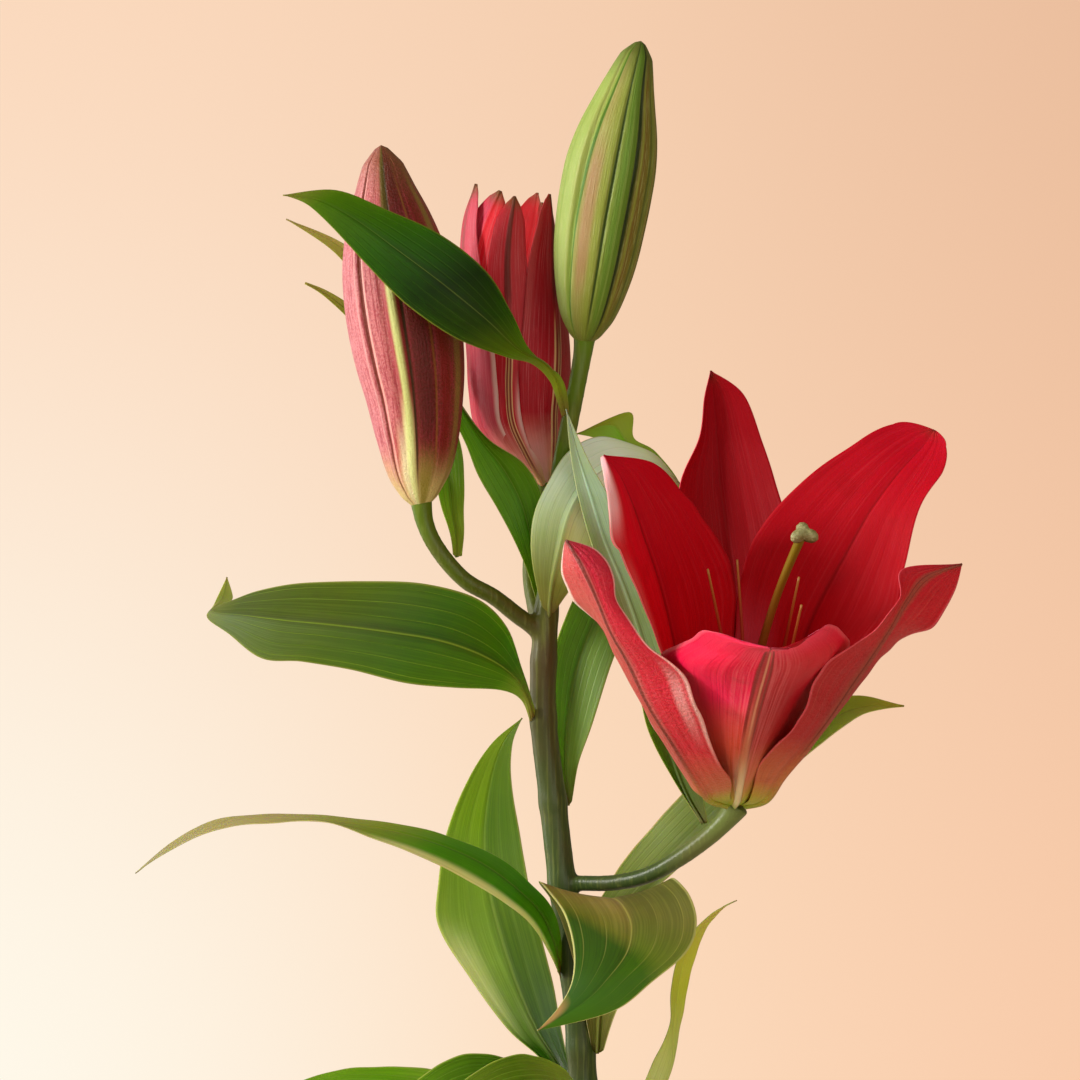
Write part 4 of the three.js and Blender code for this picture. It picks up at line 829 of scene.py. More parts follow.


# Bracts
# Small leaves at the foot of each stalk, one across the buds, one up past the flower, one curled
# round the fork and one behind the left bud. Two of them show their pale bloomy lower face, made paler
# still with painted light.

# The near-black band across the middle of the top bract is a painted shadow.
leaf(
    "bract_top",
    {"left": [(0, 130, 116, 60), (0.15, 140, 160, 32), (0.36, 96, 118, 8), (0.5, 40, 62, 0),
              (0.6, 22, 44, 0), (0.72, 40, 78, 0), (0.88, 66, 98, 4), (1, 110, 100, 44)], "veins": 0.03,
     "glint": 0.12, "rim": (140, 140, 60)},
    UNDERSIDE,
    stations=[
        ((-25, -2, 482.1), (-23.7, -3, 482.8), (-22.7, -3, 483.7)),
        ((-26.9, -8, 488.1), (-25.3, -10, 488.7), (-23.4, -8, 489.7)),
        ((-29.1, -14, 493.7), (-27.2, -16, 494.6), (-25.3, -13, 494.7)),
        ((-33.9, -20, 498), (-31, -22, 498.9), (-29.1, -18, 497.8)),
        ((-43.1, -30, 500.7), (-39, -31, 503.2), (-35.8, -27, 503.9)),
        ((-58.8, -37, 506.5), (-48.7, -37, 512.2), (-41.2, -31, 514.9)),
        ((-74.5, -42, 517.1), (-62.5, -41, 523.4), (-48.7, -35, 527.4)),
        ((-87, -44, 529.9), (-76.7, -43, 534), (-63.5, -38, 539.2)),
        ((-96.8, -44, 540.6), (-90.2, -43, 543.8), (-80.8, -39, 547.1)),
        ((-105, -42, 548.2), (-101.8, -42, 549.8), (-96.6, -39, 553.1)),
        ((-113, -39, 551.5),)],
    crease=0.4, wave=(0.3, 2, 0))

leaf(
    "bract_flower",
    {"left": [(0, 90, 90, 20), (0.2, 80, 100, 20), (1, 70, 100, 20)]},
    # Lower face: grey-green bloom, painted paler on its right half as painted light where it lies in shade.
    {"left": [(0, 90, 80, 20), (0.1, 72, 92, 12), (0.25, 92, 116, 44), (0.5, 120, 142, 96),
              (0.8, 138, 164, 136), (1, 140, 156, 116)],
     "right": [(0, 90, 80, 20), (0.1, 72, 92, 12), (0.25, 96, 122, 50), (0.5, 150, 174, 134),
               (0.8, 172, 204, 182), (1, 160, 180, 150)], "gloss": 0.6, "veins": 0.08,
     "vein": (100, 124, 70), "glint": 0.35},
    stations=[
        ((21.2, -24, 353.4), (20, -23, 352.8), (18.7, -23, 353.4)),
        ((18.7, -24, 366.7), (13.7, -20, 364.1), (9.9, -21, 367.3)),
        ((15.5, -24, 381), (8.6, -19, 378.7), (2.6, -21, 381.6)),
        ((11.7, -24, 398.4), (4.5, -18, 395.1), (-0.9, -21, 395.2)),
        ((6.7, -23, 414.3), (0.7, -18, 411), (-5.3, -20, 410.1)),
        ((-0.3, -22, 430.1), (-5, -18, 427.6), (-10.7, -20, 426.3)),
        ((-6, -21, 444.4), (-11.3, -17, 442.8), (-16.1, -19, 442.8)),
        ((-10.4, -19, 457.1), (-15.8, -16, 457.1), (-20.2, -17, 458.1)),
        ((-16.7, -17, 468.5), (-19.9, -15, 469.8), (-22.5, -16, 471.4)),
        ((-23.7, -15, 484.5),)],
    crease=0.5, wave=(0.2, 2, 0), slot="leaf_pale")

leaf(
    "bract_fork",
    {"left": [(0, 90, 100, 30), (0.5, 96, 126, 30), (1, 110, 110, 40)]},
    # Lower face: pale grey-green bloom, painted near white in its middle as painted light.
    {"left": [(0, 120, 112, 40), (0.12, 140, 144, 56), (0.26, 216, 236, 170), (0.45, 240, 255, 232),
              (0.75, 230, 250, 220), (1, 160, 140, 96)],
     "right": [(0, 120, 112, 40), (0.12, 120, 124, 50), (0.26, 148, 168, 112), (0.45, 208, 236, 206),
               (0.65, 230, 255, 236), (0.8, 220, 244, 206), (1, 160, 140, 96)], "gloss": 0.5,
     "veins": 0.3, "vein": (110, 130, 70), "count": 6.0, "line": 0.04, "glint": 0.4},
    stations=[
        ((-27.5, -2, 419.8), (-29.1, -2.5, 418.5), (-30.7, -2, 419.8)),
        ((-22.7, -6, 426.5), (-28.2, -7, 428.1), (-33.3, -6, 429.4)),
        ((-15.4, -9, 435.8), (-25.6, -12, 440.3), (-34.9, -10, 441.2)),
        ((-9.7, -8, 444.4), (-22.8, -12, 450.8), (-33.6, -11, 452)),
        ((-3.9, -4, 450.8), (-17.6, -8, 460), (-29.1, -9, 461.6)),
        ((1.6, 2, 454.6), (-10.9, -2, 465.5), (-23.1, -4, 470.9)),
        ((5.9, 7, 456.9), (-3.2, 4, 468.1), (-13.7, 2, 475.8)),
        ((9.1, 11, 458.5), (4, 9, 467.5), (-3.1, 8, 473.6)),
        ((11.8, 14, 459.9), (9.2, 13, 464.7), (5.6, 12, 469.8)),
        ((13.1, 15, 460.8),)],
    crease=0.35, wave=(0.3, 2, 0), slot="leaf_pale")

leaf(
    "bract_left_bud",
    {"left": [(0, 140, 150, 50), (0.3, 90, 130, 10), (1, 140, 130, 60)]},
    UNDERSIDE,
    route=[(-58.5, -7, 437.7), (-58.8, -3, 444.4), (-60.2, 2, 452.4), (-61.2, 6, 462), (-62.8, 9, 472.3),
           (-67.4, 11, 484.6), (-74.4, 11, 496.8), (-83.4, 11, 507.1), (-93.1, 11, 516.1),
           (-101.1, 11, 522.2), (-107.5, 10, 525.4)],
    facing=[(0.3, -0.9, 0.2), (0.1, -1, 0.1), (-0.1, -0.9, 0.3), (-0.2, -0.9, 0.4)],
    widths=[1.6, 3, 4.6, 5.4, 5.6, 5.4, 5, 4, 2.4, 1.4, 0.4], wave=(0.3, 2, 0))


# Closed buds
# Three outer tepals with a thick green or brown midrib close over three inner ones, so a bud has
# ribs and seams along it. The top bud is still green, the left one has coloured to a dusty pink.

BUD_GRID = 200, 110
ROUND_FOOT = 0.04
ROUND_TIP = 0.05


def bud(name, route, radii, turn, ridges, material):
    """Closed bud along a bent centre line; each ridge is a turn in degrees, a width and a height."""
    line = centre_line(route)
    known = {}

    def place(u, v):
        if u not in known:
            end = min(1, u / ROUND_FOOT, (1 - u) / ROUND_TIP) ** 0.5
            known[u] = *square_to(line, u), between(radii, u) * end
        point, right, back, radius = known[u]
        degrees = 180 * (v + 1)
        relief = math.sin(math.pi * min(1, u * 1.6) / 2) * min(1, 2.5 * (1 - u))
        for at, width, height in ridges:
            off = (degrees - at + 180) % 360 - 180
            radius += relief * height * math.exp(-(off / width) ** 2)
        angle = math.radians(degrees + turn)
        return point + (right * math.cos(angle) + back * math.sin(angle)) * radius

    skin = shaped_sheet(place, *BUD_GRID, tube=True)
    return finish_mesh(name + "_closed", skin, [material], [name])


def bud_finish(name, round_lit_and_shaded, base, tip, lines, line_share, bands, pebble=0.3, grain=(0, 0, 0, 0)):
    """Skin of a bud: colours round it, lighter on the side toward the window as painted light and darker
    on the far side as painted shade, fine lines, a base and a tip colour with where each is none and full
    and its share, its ribs and seams as bands, and a grain of a colour and a share."""
    material, tree, shader = new_finish(name)
    u, v = on_chart(tree)
    mottle = placed(tree, MOTTLE, Patches=110.0, Grain=1300.0)
    streaks = placed(tree, STREAKS, Along=times(tree, u, 4.0), Across=v, Count=170.0)["Streaks"]
    skin = over(tree, ramp(tree, v, round_lit_and_shaded), rise(tree, streaks, 0.5, 0.62), line_share, lines)
    skin = over(tree, skin, rise(tree, mottle["Grain"], 0.46, 0.6), grain[3], grain[:3])
    for colour, none, full, share in (base, tip):
        skin = over(tree, skin, rise(tree, u, none, full), share, colour)
    skin = banded(tree, u, v, skin, bands, around=True)
    height = maths(tree, "MULTIPLY_ADD", mottle["Grain"], pebble, streaks)
    coated(tree, shader, (height, 0.6, 0.0005), Base_Color=skin, Specular_IOR_Level=0.3,
           Roughness=maths(tree, "MULTIPLY_ADD", mottle["Patches"], 0.2, 0.35), Subsurface_Weight=0.12,
           Subsurface_Radius=(1, 0.6, 0.3), Subsurface_Scale=0.002)
    return material


DARK_GREEN = (44, 72, 6)
green_skin = bud_finish(
    "green bud skin",
    # Colours round the green bud: lighter on its window side, painted light, and darker on its far side,
    # painted shade.
    [(0, 100, 122, 34), (0.07, 120, 96, 30), (0.12, 116, 124, 30), (0.2, 100, 88, 20),
     (0.5, 130, 140, 60), (0.7, 146, 166, 76), (0.8, 150, 172, 80), (0.88, 160, 150, 84),
     (0.93, 148, 160, 66), (1, 100, 122, 34)],
    ((104, 124, 16), 0.25, 0.0, 0.7),
    ((76, 90, 26), 0.82, 1.0, 0.8),
    (176, 184, 112),
    0.4,
    [(0.89, 0.89, 0.034, (170, 120, 92), 0.6, 0.2, 0.62),
     (0.0, 0.0, 0.042, (96, 132, 34), 0.9, 0.05, 1.0), (0.0, 0.0, 0.006, (150, 176, 80), 0.4, 0.1, 0.8),
     (0.955, 0.96, 0.008, DARK_GREEN, 0.9, 0.08, 1.1),
     (0.035, 0.04, 0.011, (34, 50, 4), 0.95, 0.05, 1.1),
     (0.056, 0.056, 0.008, (150, 160, 60), 0.5, 0.1, 0.9),
     (0.826, 0.86, 0.018, (126, 156, 56), 0.7, 0.08, 0.95),
     (0.834, 0.874, 0.009, (70, 116, 16), 0.95, 0.05, 1.1),
     (0.75, 0.75, 0.01, (120, 150, 50), 0.5, 0.1, 0.8), (0.11, 0.1, 0.01, (70, 84, 10), 0.7, 0.1, 0.9),
     (0.15, 0.14, 0.012, (150, 132, 50), 0.6, 0.1, 0.9)])
bud(
    "bud_green_top",
    [(-18.2, 0, 504.2), (-16.6, -1, 516.4), (-14.7, -2, 529.1), (-12.5, -2, 543.5), (-9.3, -3, 561.1),
     (-5.5, -3, 579.6), (-2.6, -3, 591.7), (0.3, -2, 602.4)],
    [3, 8.6, 11.6, 13.4, 14.2, 14.5, 14.2, 12.6, 9.8, 6.8, 4],
    -70,
    [(0, 8, 0.8), (120, 8, 0.8), (240, 8, 0.8), (13, 2.5, -1.7), (-16, 2.2, -1.1), (135, 2.2, -1.1),
     (105, 2.2, -1.1), (255, 2.2, -1.1), (225, 2.2, -1.1), (-59, 2.5, -1.3), (-52, 3, 0.3),
     (-66, 3, 0.3), (62, 3, -0.7), (180, 3, -0.7)],
    green_skin)

pink_skin = bud_finish(
    "pink bud skin",
    # Colours round the pink bud: pale pink-white on its window side, a painted highlight, and dark red on
    # its far side, painted shade.
    [(0, 150, 60, 50), (0.06, 104, 24, 14), (0.12, 110, 30, 14), (0.2, 120, 60, 30), (0.3, 116, 40, 24),
     (0.5, 150, 60, 60), (0.7, 226, 160, 166), (0.8, 212, 136, 144), (0.94, 206, 120, 124),
     (1, 150, 60, 50)],
    ((226, 220, 140), 0.2, 0.0, 0.8),
    ((130, 100, 60), 0.8, 1.0, 0.5),
    (150, 34, 50),
    0.7,
    [(0.065, 0.05, 0.05, (80, 12, 6), 0.7, 0.2, 1.0), (0.135, 0.13, 0.03, (124, 8, 8), 0.7, 0.15, 0.8),
     (0.103, 0.09, 0.007, (150, 96, 44), 0.7, 0.12, 0.9),
     (0.06, 0.06, 0.05, (140, 130, 30), 0.8, -0.1, 0.14),
     (0.2, 0.18, 0.025, (140, 116, 50), 0.7, 0.0, 0.9),
     (0.965, 0.965, 0.035, (244, 236, 190), 0.8, -0.1, 0.2),
     (0.995, 0.995, 0.03, (216, 222, 150), 0.95, -0.1, 0.28),
     (0.998, 0.998, 0.016, (200, 206, 130), 0.95, 0.2, 0.66),
     (0.0, 0.015, 0.022, (100, 90, 34), 0.9, 0.72, 1.1),
     (0.018, 0.028, 0.006, (60, 40, 6), 0.9, 0.1, 1.1),
     (0.94, 0.94, 0.02, (184, 50, 44), 0.7, 0.14, 0.2),
     (0.925, 0.915, 0.006, (236, 180, 170), 0.7, 0.05, 0.9),
     (0.908, 0.9, 0.009, (112, 40, 24), 0.95, 0.0, 1.1),
     (0.89, 0.885, 0.006, (220, 160, 160), 0.6, 0.05, 0.9)],
    pebble=1.2, grain=(166, 50, 70, 0.42))
bud(
    "bud_pink_left",
    [(-69.9, -9, 451.7), (-70.6, -9, 461.9), (-70.9, -10, 474.7), (-72, -10, 490), (-73.8, -10, 503),
     (-77.9, -9, 529.2), (-81.1, -8, 552.5), (-82.7, -8, 568.8)],
    [3.4, 9.8, 13.2, 15.4, 17.3, 18.2, 18, 16.6, 13.4, 8.8, 4.6],
    -98,
    [(0, 6, 1.2), (120, 6, 1.2), (240, 6, 1.2), (8, 2, -0.9), (-10, 3, -0.5), (140, 3, -0.9),
     (100, 3, -0.9), (260, 3, -0.9), (220, 3, -0.9), (-34, 2.5, -1.2), (-28, 3, 0.3), (-41, 3, 0.3),
     (37, 2.5, -0.8)],
    pink_skin)


# Opening bud
# The six tepals have coloured red and just begun to part. They still stand upright round each other
# on one base, the outer three with a thick brownish midrib, and their tips stand free.

DEEP_RED = (150, 0, 14)


def tepal_finish(name, left, right, rib, bands=(), rib_width=0.02, rib_share=0.6, pale=(240, 130, 140),
                 pale_share=0.15, gloss=0.5, pebble=0.4, glint=0.22, lined=0.0):
    """One face of a tepal: colours from base to tip on each half, pale streaks, its midrib, and bands
    for its margins and stripes. Lined is the share of the pale lines that crowd along the midrib."""
    material, tree, shader = new_finish(name)
    u, v = on_chart(tree)
    mottle = placed(tree, MOTTLE, Patches=75.0, Grain=950.0)
    streaks = placed(tree, STREAKS, Along=u, Across=v, Count=64.0)["Streaks"]
    lines = placed(tree, VEINS, Along=u, Across=v, Count=13.0, Width=0.2, Rib=rib_width)
    red = mixed(tree, rise(tree, v, 0.46, 0.54), ramp(tree, u, left), ramp(tree, u, right))
    red = over(tree, red, rise(tree, streaks, 0.5, 0.72), pale_share, pale)
    red = over(tree, red, rise(tree, streaks, 0.46, 0.3), 0.35, DEEP_RED)
    red = over(tree, red, rise(tree, mottle["Patches"], 0.45, 0.25), 0.3, DEEP_RED)
    off = maths(tree, "ABSOLUTE", maths(tree, "SUBTRACT", v, 0.5))
    crowd = times(tree, rise(tree, off, 0.26, rib_width), rise(tree, streaks, 0.42, 0.58))
    red = over(tree, red, times(tree, crowd, rise(tree, u, 1.0, 0.5)), lined, pale)
    red = mixed(tree, times(tree, lines["Midrib"], rib_share), red, ramp(tree, u, rib))
    red = banded(tree, u, v, red, bands)
    height = maths(tree, "MULTIPLY_ADD", mottle["Grain"], pebble, times(tree, streaks, 0.8))
    coated(tree, shader, (height, 0.5, 0.0004), Base_Color=red, Specular_IOR_Level=glint,
           Roughness=maths(tree, "MULTIPLY_ADD", mottle["Patches"], 0.2, gloss - 0.1),
           Subsurface_Weight=0.25, Subsurface_Radius=(1, 0.05, 0.08), Subsurface_Scale=0.003)
    return material


OPENING_LINE = [(-30.4, 26, 460.9), (-33.9, 27, 470.3), (-38.1, 28, 483.3), (-39.3, 28, 506.5),
                (-42.2, 28, 536.6), (-41.1, 28, 557)]
OPENING_RADII = [3, 9.4, 14.2, 15.9, 16.3, 16.2, 16, 15.7, 15.3, 14.2, 12.2]
LOBE_WIDTHS = [2, 6.4, 9.8, 11.4, 11.6, 11, 10, 8.8, 7, 5]
RED_RIB = [(0, 200, 170, 120), (0.3, 190, 40, 56), (1, 120, 50, 30)]
BRIGHT_RED = [(0, 170, 10, 24), (0.95, 190, 6, 20), (1, 120, 60, 34)]
STRIPES = [(0.5, 0.5, 0.05, (110, 50, 34), 0.9, 0.05, 0.55),
           (0.455, 0.455, 0.016, (226, 190, 140), 0.9, 0.0, 0.55),
           (0.545, 0.545, 0.016, (226, 190, 140), 0.9, 0.0, 0.55),
           (0.5, 0.5, 0.014, (214, 170, 120), 0.7, 0.0, 0.5),
           (0.5, 0.5, 0.1, (84, 40, 34), 0.8, 0.62, 1.1)]
DARK_TIP = (0.5, 0.5, 0.5, (96, 70, 40), 0.8, 0.985, 1.1)
lobe_inner = tepal_finish("opening tepal inner face", BRIGHT_RED, BRIGHT_RED, RED_RIB)
LOBE_THICKNESS = 1.1
LOBE_GRID = 32, 80
LOBE_STEPS = 40
LOBE_TIP = 0.08
# The pale pink bands low on the front and front_right lobes and along the left lobe's edge are painted
# highlights, and the left_inner lobe's bright red is painted light where it lies in shade.
OPENING_LOBES = {"front": ((-104, -84, 1.0, 0.96, 0.72, 0.965), (190, 40, 54), (186, 24, 42),
                           STRIPES + [(0.22, 0.22, 0.2, (250, 206, 208), 0.85, 0.1, 0.36)]),
                 "right": ((14, 22, 0.94, 0.93, 0.8, 0.96), (180, 16, 30), (180, 16, 30), []),
                 "left": ((-150, -160, 1.0, 1.0, 0.86, 1.0), (196, 64, 84), (176, 44, 66),
                          [(0.0, 0.0, 0.1, (240, 200, 196), 0.7, 0.1, 0.5),
                           (0.5, 0.5, 0.08, (120, 60, 50), 0.6, 0.7, 1.1)]),
                 "left_inner": ((-186, -110, 0.95, 0.9, 0.94, 0.98), (240, 26, 46), (206, 50, 80), []),
                 "front_right": ((-50, -14, 1.0, 1.03, 1.12, 0.985), (156, 16, 30), (172, 10, 34),
                                 STRIPES + [(0.86, 0.76, 0.26, (236, 160, 170), 0.6, -0.1, 0.16),
                                            (1.0, 1.0, 0.16, (186, 70, 76), 0.7, 0.55, 1.1)]),
                 "back": ((104, 38, 0.86, 1.0, 1.1, 0.99), (190, 16, 32), (190, 16, 32), [])}


def lobe_surface(low, high, reach, place, share, length):
    """Surface of one of the opening bud's tepals, turned from low to high degrees round the bud from its
    foot to its tip. Reach and place are shares of the bud's radius, at the tip and in all."""
    line = centre_line(OPENING_LINE)
    route, facing, curl = [], [], []
    stations = len(LOBE_WIDTHS)
    for i in range(stations):
        u = i / (stations - 1)
        centre, right, back = square_to(line, u * length)
        angle = math.radians(low + (high - low) * u * u)
        out = right * math.cos(angle) + back * math.sin(angle)
        radius = between(OPENING_RADII, u)
        route.append(centre + out * radius * place * (1 + (reach - 1) * u * u))
        facing.append(-out)
        curl.append(share * LOBE_WIDTHS[i] / radius)
    widths = []
    for i in range(LOBE_STEPS + 1):
        u = i / LOBE_STEPS
        round_tip = min(1, 0.01 + (1 - u) / LOBE_TIP) ** 0.5
        widths.append(share * between(LOBE_WIDTHS, u) * round_tip)

    def relief(u, v):
        waves = 0.25 * v ** 4 * math.sin(19 * u + low)
        return waves - ridge(u, v, height=0.5, width=0.1, fade=0.5)

    return along_midrib(route, facing, widths, [0, 0], curl, relief)


for name, (shape, left_colour, right_colour, bands) in OPENING_LOBES.items():
    halves = [[(0, 214, 180, 130), (0.1, 226, 140, 130), (0.25, *colour), (0.95, *colour), (1, 110, 84, 50)]
              for colour in (left_colour, right_colour)]
    outer = tepal_finish(f"opening tepal {name} outer face", *halves, RED_RIB, [*bands, DARK_TIP],
                         rib_share=0.4, pale=(236, 150, 160), pale_share=0.4, pebble=0.6)
    blade("bud_opening_" + name, lobe_surface(*shape), *LOBE_GRID, LOBE_THICKNESS, [lobe_inner, outer],
          "bud_red", "bud_opening")

core_line = centre_line(OPENING_LINE)
core_route = []
core_height = 0.72
for i, share_of_radius in enumerate([0.9] * 7 + [0.3]):
    u = i / 7 * core_height
    core_route.append((*core_line(u)[0], between(OPENING_RADII, u) * share_of_radius))
core_mesh = shaped_sheet(round_tube(core_route), columns=48, rows=40, tube=True)
CORE_RED = [(0, 200, 150, 110), (0.3, 180, 40, 50), (1, 150, 10, 24)]
core_skin = tepal_finish("opening bud core", CORE_RED, CORE_RED, RED_RIB)
finish_mesh("bud_opening_core", core_mesh, [core_skin], ["bud_opening"])


# Pistil
# A fleshy olive-brown style on the ovary, bent to the light, with a knob of three rounded lobes that is
# grey-green and a little sticky on top.

STYLE = [(31, -26, 359.5, 2.2), (31.8, -28.6, 364, 2.6), (33, -35, 377, 2.5), (34, -41, 389, 1.7),
         (36.6, -50, 406, 1.4), (42.2, -61, 426, 1.25), (49.2, -72, 443.8, 1.5)]


def style_finish():
    """Olive-brown style, greener at the ovary and towards the knob."""
    material, tree, shader = new_finish("style")
    u, v = on_chart(tree)
    mottle = placed(tree, MOTTLE, Patches=200.0, Grain=1800.0)
    skin = ramp(tree, u, [(0, 120, 126, 40), (0.3, 126, 84, 30), (0.5, 140, 60, 16), (0.72, 136, 84, 10),
                          (1, 126, 120, 14)])
    coated(tree, shader, (mottle["Grain"], 0.3, 0.0003),
           Base_Color=over(tree, skin, mottle["Grain"], 0.3, (170, 110, 50)),
           Roughness=maths(tree, "MULTIPLY_ADD", mottle["Patches"], 0.3, 0.25))
    return material


style_mesh = shaped_sheet(round_tube(STYLE), columns=24, rows=70, tube=True)
finish_mesh("pistil_style", style_mesh, [style_finish()], ["pistil"])

STIGMA = Vector((49.8, -72.6, 445))
STIGMA_AXIS = Vector((0.25, -0.75, 0.6)).normalized()
stigma_up = (Vector((0, 0, 1)) - STIGMA_AXIS * STIGMA_AXIS.z).normalized()
stigma_side = STIGMA_AXIS.cross(stigma_up)
STIGMA_WIDTH = 4.9
STIGMA_DEPTH = 3.5
stigma_mesh = bmesh.new()
bmesh.ops.create_icosphere(stigma_mesh, subdivisions=5, radius=1)
for vert in stigma_mesh.verts:
    way = vert.co.normalized()
    turn = math.atan2(way.x, way.y)
    flat = 1 - abs(way.z) ** 3
    lobes = 0.74 + 0.26 * math.cos(3 * turn) * flat - 0.1 * math.exp(-((1 - way.z) / 0.15) ** 2)
    warts = 0.04 * math.sin(13 * way.x + 3) * math.sin(15 * way.y) * math.sin(12 * way.z + 1)
    size = lobes + warts
    high = 0.7 if way.y > 0 else 1
    vert.co = STIGMA + (stigma_side * way.x + stigma_up * way.y * high) * STIGMA_WIDTH * size
    vert.co += STIGMA_AXIS * way.z * STIGMA_DEPTH * size


def stigma_finish():
    """Dull grey-green knob, paler on its warts and glistening a little."""
    material, tree, shader = new_finish("stigma")
    mottle = placed(tree, MOTTLE, Patches=420.0, Grain=2200.0)
    skin = ramp(tree, mottle["Patches"], [(0.3, 96, 92, 44), (0.5, 146, 142, 92), (0.72, 176, 174, 128)])
    coated(tree, shader, (mottle["Grain"], 0.6, 0.0005), Base_Color=skin,
           Roughness=maths(tree, "MULTIPLY_ADD", mottle["Grain"], 0.4, 0.15))
    return material


finish_mesh("pistil_stigma", stigma_mesh, [stigma_finish()], ["pistil"])


# Stamens
# Six thin threads from a ring at the flower's base, red and paler at their tips. Their anthers have
# been picked off, as florists do to save the petals from pollen stains.

FLOWER_BASE = Vector((31, -26, 359.5))
FLOWER_AXIS = Vector((0.206, -0.5, 0.84)).normalized()
FILAMENTS = [(160, 20.5, -55, 433.7), (115, 30, -42, 436.6), (50, 49, -57, 431.2), (10, 49.6, -62, 422.5),
             (300, 42, -88, 401), (230, 25, -86, 402)]


def flower_point(height, out, turn):
    """Point up the flower's axis and out from it at a turn in degrees."""
    across = (Vector((1, 0, 0)) - FLOWER_AXIS * FLOWER_AXIS.x).normalized()
    behind = FLOWER_AXIS.cross(across)
    angle = math.radians(turn)
    return FLOWER_BASE + FLOWER_AXIS * height + (across * math.cos(angle) + behind * math.sin(angle)) * out


def filament_finish():
    """Red thread, orange-brown towards its tip."""
    material, tree, shader = new_finish("filament")
    u, v = on_chart(tree)
    mottle = placed(tree, MOTTLE, Patches=300.0, Grain=2000.0)
    skin = ramp(tree, u, [(0, 150, 140, 60), (0.25, 170, 40, 20), (0.75, 176, 46, 20), (0.88, 186, 96, 40),
                          (1, 196, 140, 70)])
    coated(tree, shader, Base_Color=over(tree, skin, mottle["Grain"], 0.25, (190, 90, 50)),
           Roughness=maths(tree, "MULTIPLY_ADD", mottle["Patches"], 0.2, 0.3))
    return material


thread = filament_finish()
for count, (turn, *tip) in enumerate(FILAMENTS, 1):
    start = flower_point(20, 5, turn)
    top = Vector(tip)
    middle = start.lerp(top, 0.5) + FLOWER_AXIS * 2
    route = [(*flower_point(4.4, 3.4, turn), 0.9), (*start, 0.7), (*middle, 0.55), (*top, 0.36)]
    thread_mesh = shaped_sheet(round_tube(route), columns=12, rows=40, tube=True)
    finish_mesh(f"stamen_{count}", thread_mesh, [thread], ["stamens"])


# Tepals
# Three narrower outer tepals and three broader inner ones spread round the flower's base. Each is a
# thick satiny blade, red inside, pinker outside, with a grooved midrib and a pale waved margin.

TEPAL_THICKNESS = 1.0
TEPAL_GRID = 64, 130
TEPAL_RIPPLES = [(21, 1, 1), (38, 0.6, 2.3), (69, 0.35, 3.1)]


def tepal(name, inner, outer, stations, crease, wave, blunt=0.0, rolled=(0, 0, 1, 0)):
    """A tepal with its two faces. Rolled says which margin turns down, -1 left or 1 right, from where to
    where and how far."""
    side_down, start, end, depth = rolled

    def relief(u, v):
        groove = ridge(u, v, height=0.9, width=0.05, fade=0.75)
        shoulder = ridge(u, abs(v) - 0.14, height=0.35, width=0.06, fade=0.75)
        flutes = 0.1 * math.cos(26 * v) * (1 - v * v)
        turned_down = 0
        if side_down * v > 0.5 and start < u < end:
            swell = math.sin(math.pi * (u - start) / (end - start)) ** 0.5
            turned_down = depth * (2 * abs(v) - 1) ** 2 * swell
        waves = margin_wave(u, v, wave, TEPAL_RIPPLES, 0.5 * abs(v) ** 4, 2 if v > 0 else 0)
        return waves - groove + shoulder + flutes - turned_down

    place = through_stations(stations, crease, relief, blunt)
    return blade(name + "_petal", place, *TEPAL_GRID, TEPAL_THICKNESS, [inner, outer], "tepal", name)


INSIDE = [(0, 150, 160, 50), (0.1, 176, 90, 40), (0.2, 180, 4, 14), (0.6, 178, 0, 22), (1, 188, 4, 34)]
# Inner face of the back tepal: a darker red, painted shade from the tepals in front of it.
INSIDE_PAINTED_SHADE = [(0, 150, 160, 50), (0.1, 150, 60, 30), (0.2, 140, 2, 10), (0.6, 136, 0, 14),
               (1, 158, 2, 22)]
INSIDE_LIT = [(0, 150, 160, 50), (0.1, 176, 90, 40), (0.2, 190, 4, 14), (0.6, 204, 0, 26), (1, 206, 4, 40)]
YELLOW_BASE = [(0, 140, 170, 30), (0.1, 176, 170, 50), (0.17, 196, 110, 70)]
OUTSIDE = [*YELLOW_BASE, (0.3, 204, 18, 48), (0.8, 204, 14, 54), (1, 208, 36, 72)]
OUTSIDE_SHADED = [*YELLOW_BASE, (0.34, 172, 22, 30), (1, 186, 14, 40)]
# Outer face of the front tepal: FRONT_LIT is its half toward the window, painted lighter low down as
# painted light, and the other half is darker low down, painted shade.
FRONT_SHADE_SIDE = [*YELLOW_BASE, (0.27, 176, 40, 38), (0.4, 172, 2, 28), (0.6, 210, 8, 46),
              (0.75, 248, 50, 96), (1, 250, 74, 108)]
FRONT_LIT = [*YELLOW_BASE, (0.27, 248, 96, 74), (0.42, 248, 36, 90), (0.6, 224, 14, 64), (1, 218, 40, 78)]
# Colours of the left tepal's outer face on its half toward the window: greyish pink, and darker red near
# the base as painted shade.
OUTSIDE_GREYISH = [*YELLOW_BASE, (0.26, 150, 44, 40), (0.43, 178, 40, 50), (0.6, 186, 76, 74),
                 (0.8, 196, 40, 60), (1, 190, 76, 86)]
DARK_RIB = [(0, 150, 160, 50), (0.2, 120, 0, 6), (1, 140, 0, 10)]
OUTER_RIB = [(0, 150, 170, 60), (0.2, 180, 120, 70), (0.5, 150, 50, 44), (1, 104, 50, 40)]
RED_TIP = (0.5, 0.5, 0.5, (110, 60, 40), 0.8, 0.985, 1.1)
MARGINS = [(0.0, 0.0, 0.035, (236, 100, 116), 0.5, 0.2, 1.1),
           (1.0, 1.0, 0.035, (236, 100, 116), 0.5, 0.2, 1.1), RED_TIP]
satin = {"pale_share": 0.05, "gloss": 0.62, "glint": 0.1, "rib_width": 0.03, "rib_share": 0.7}
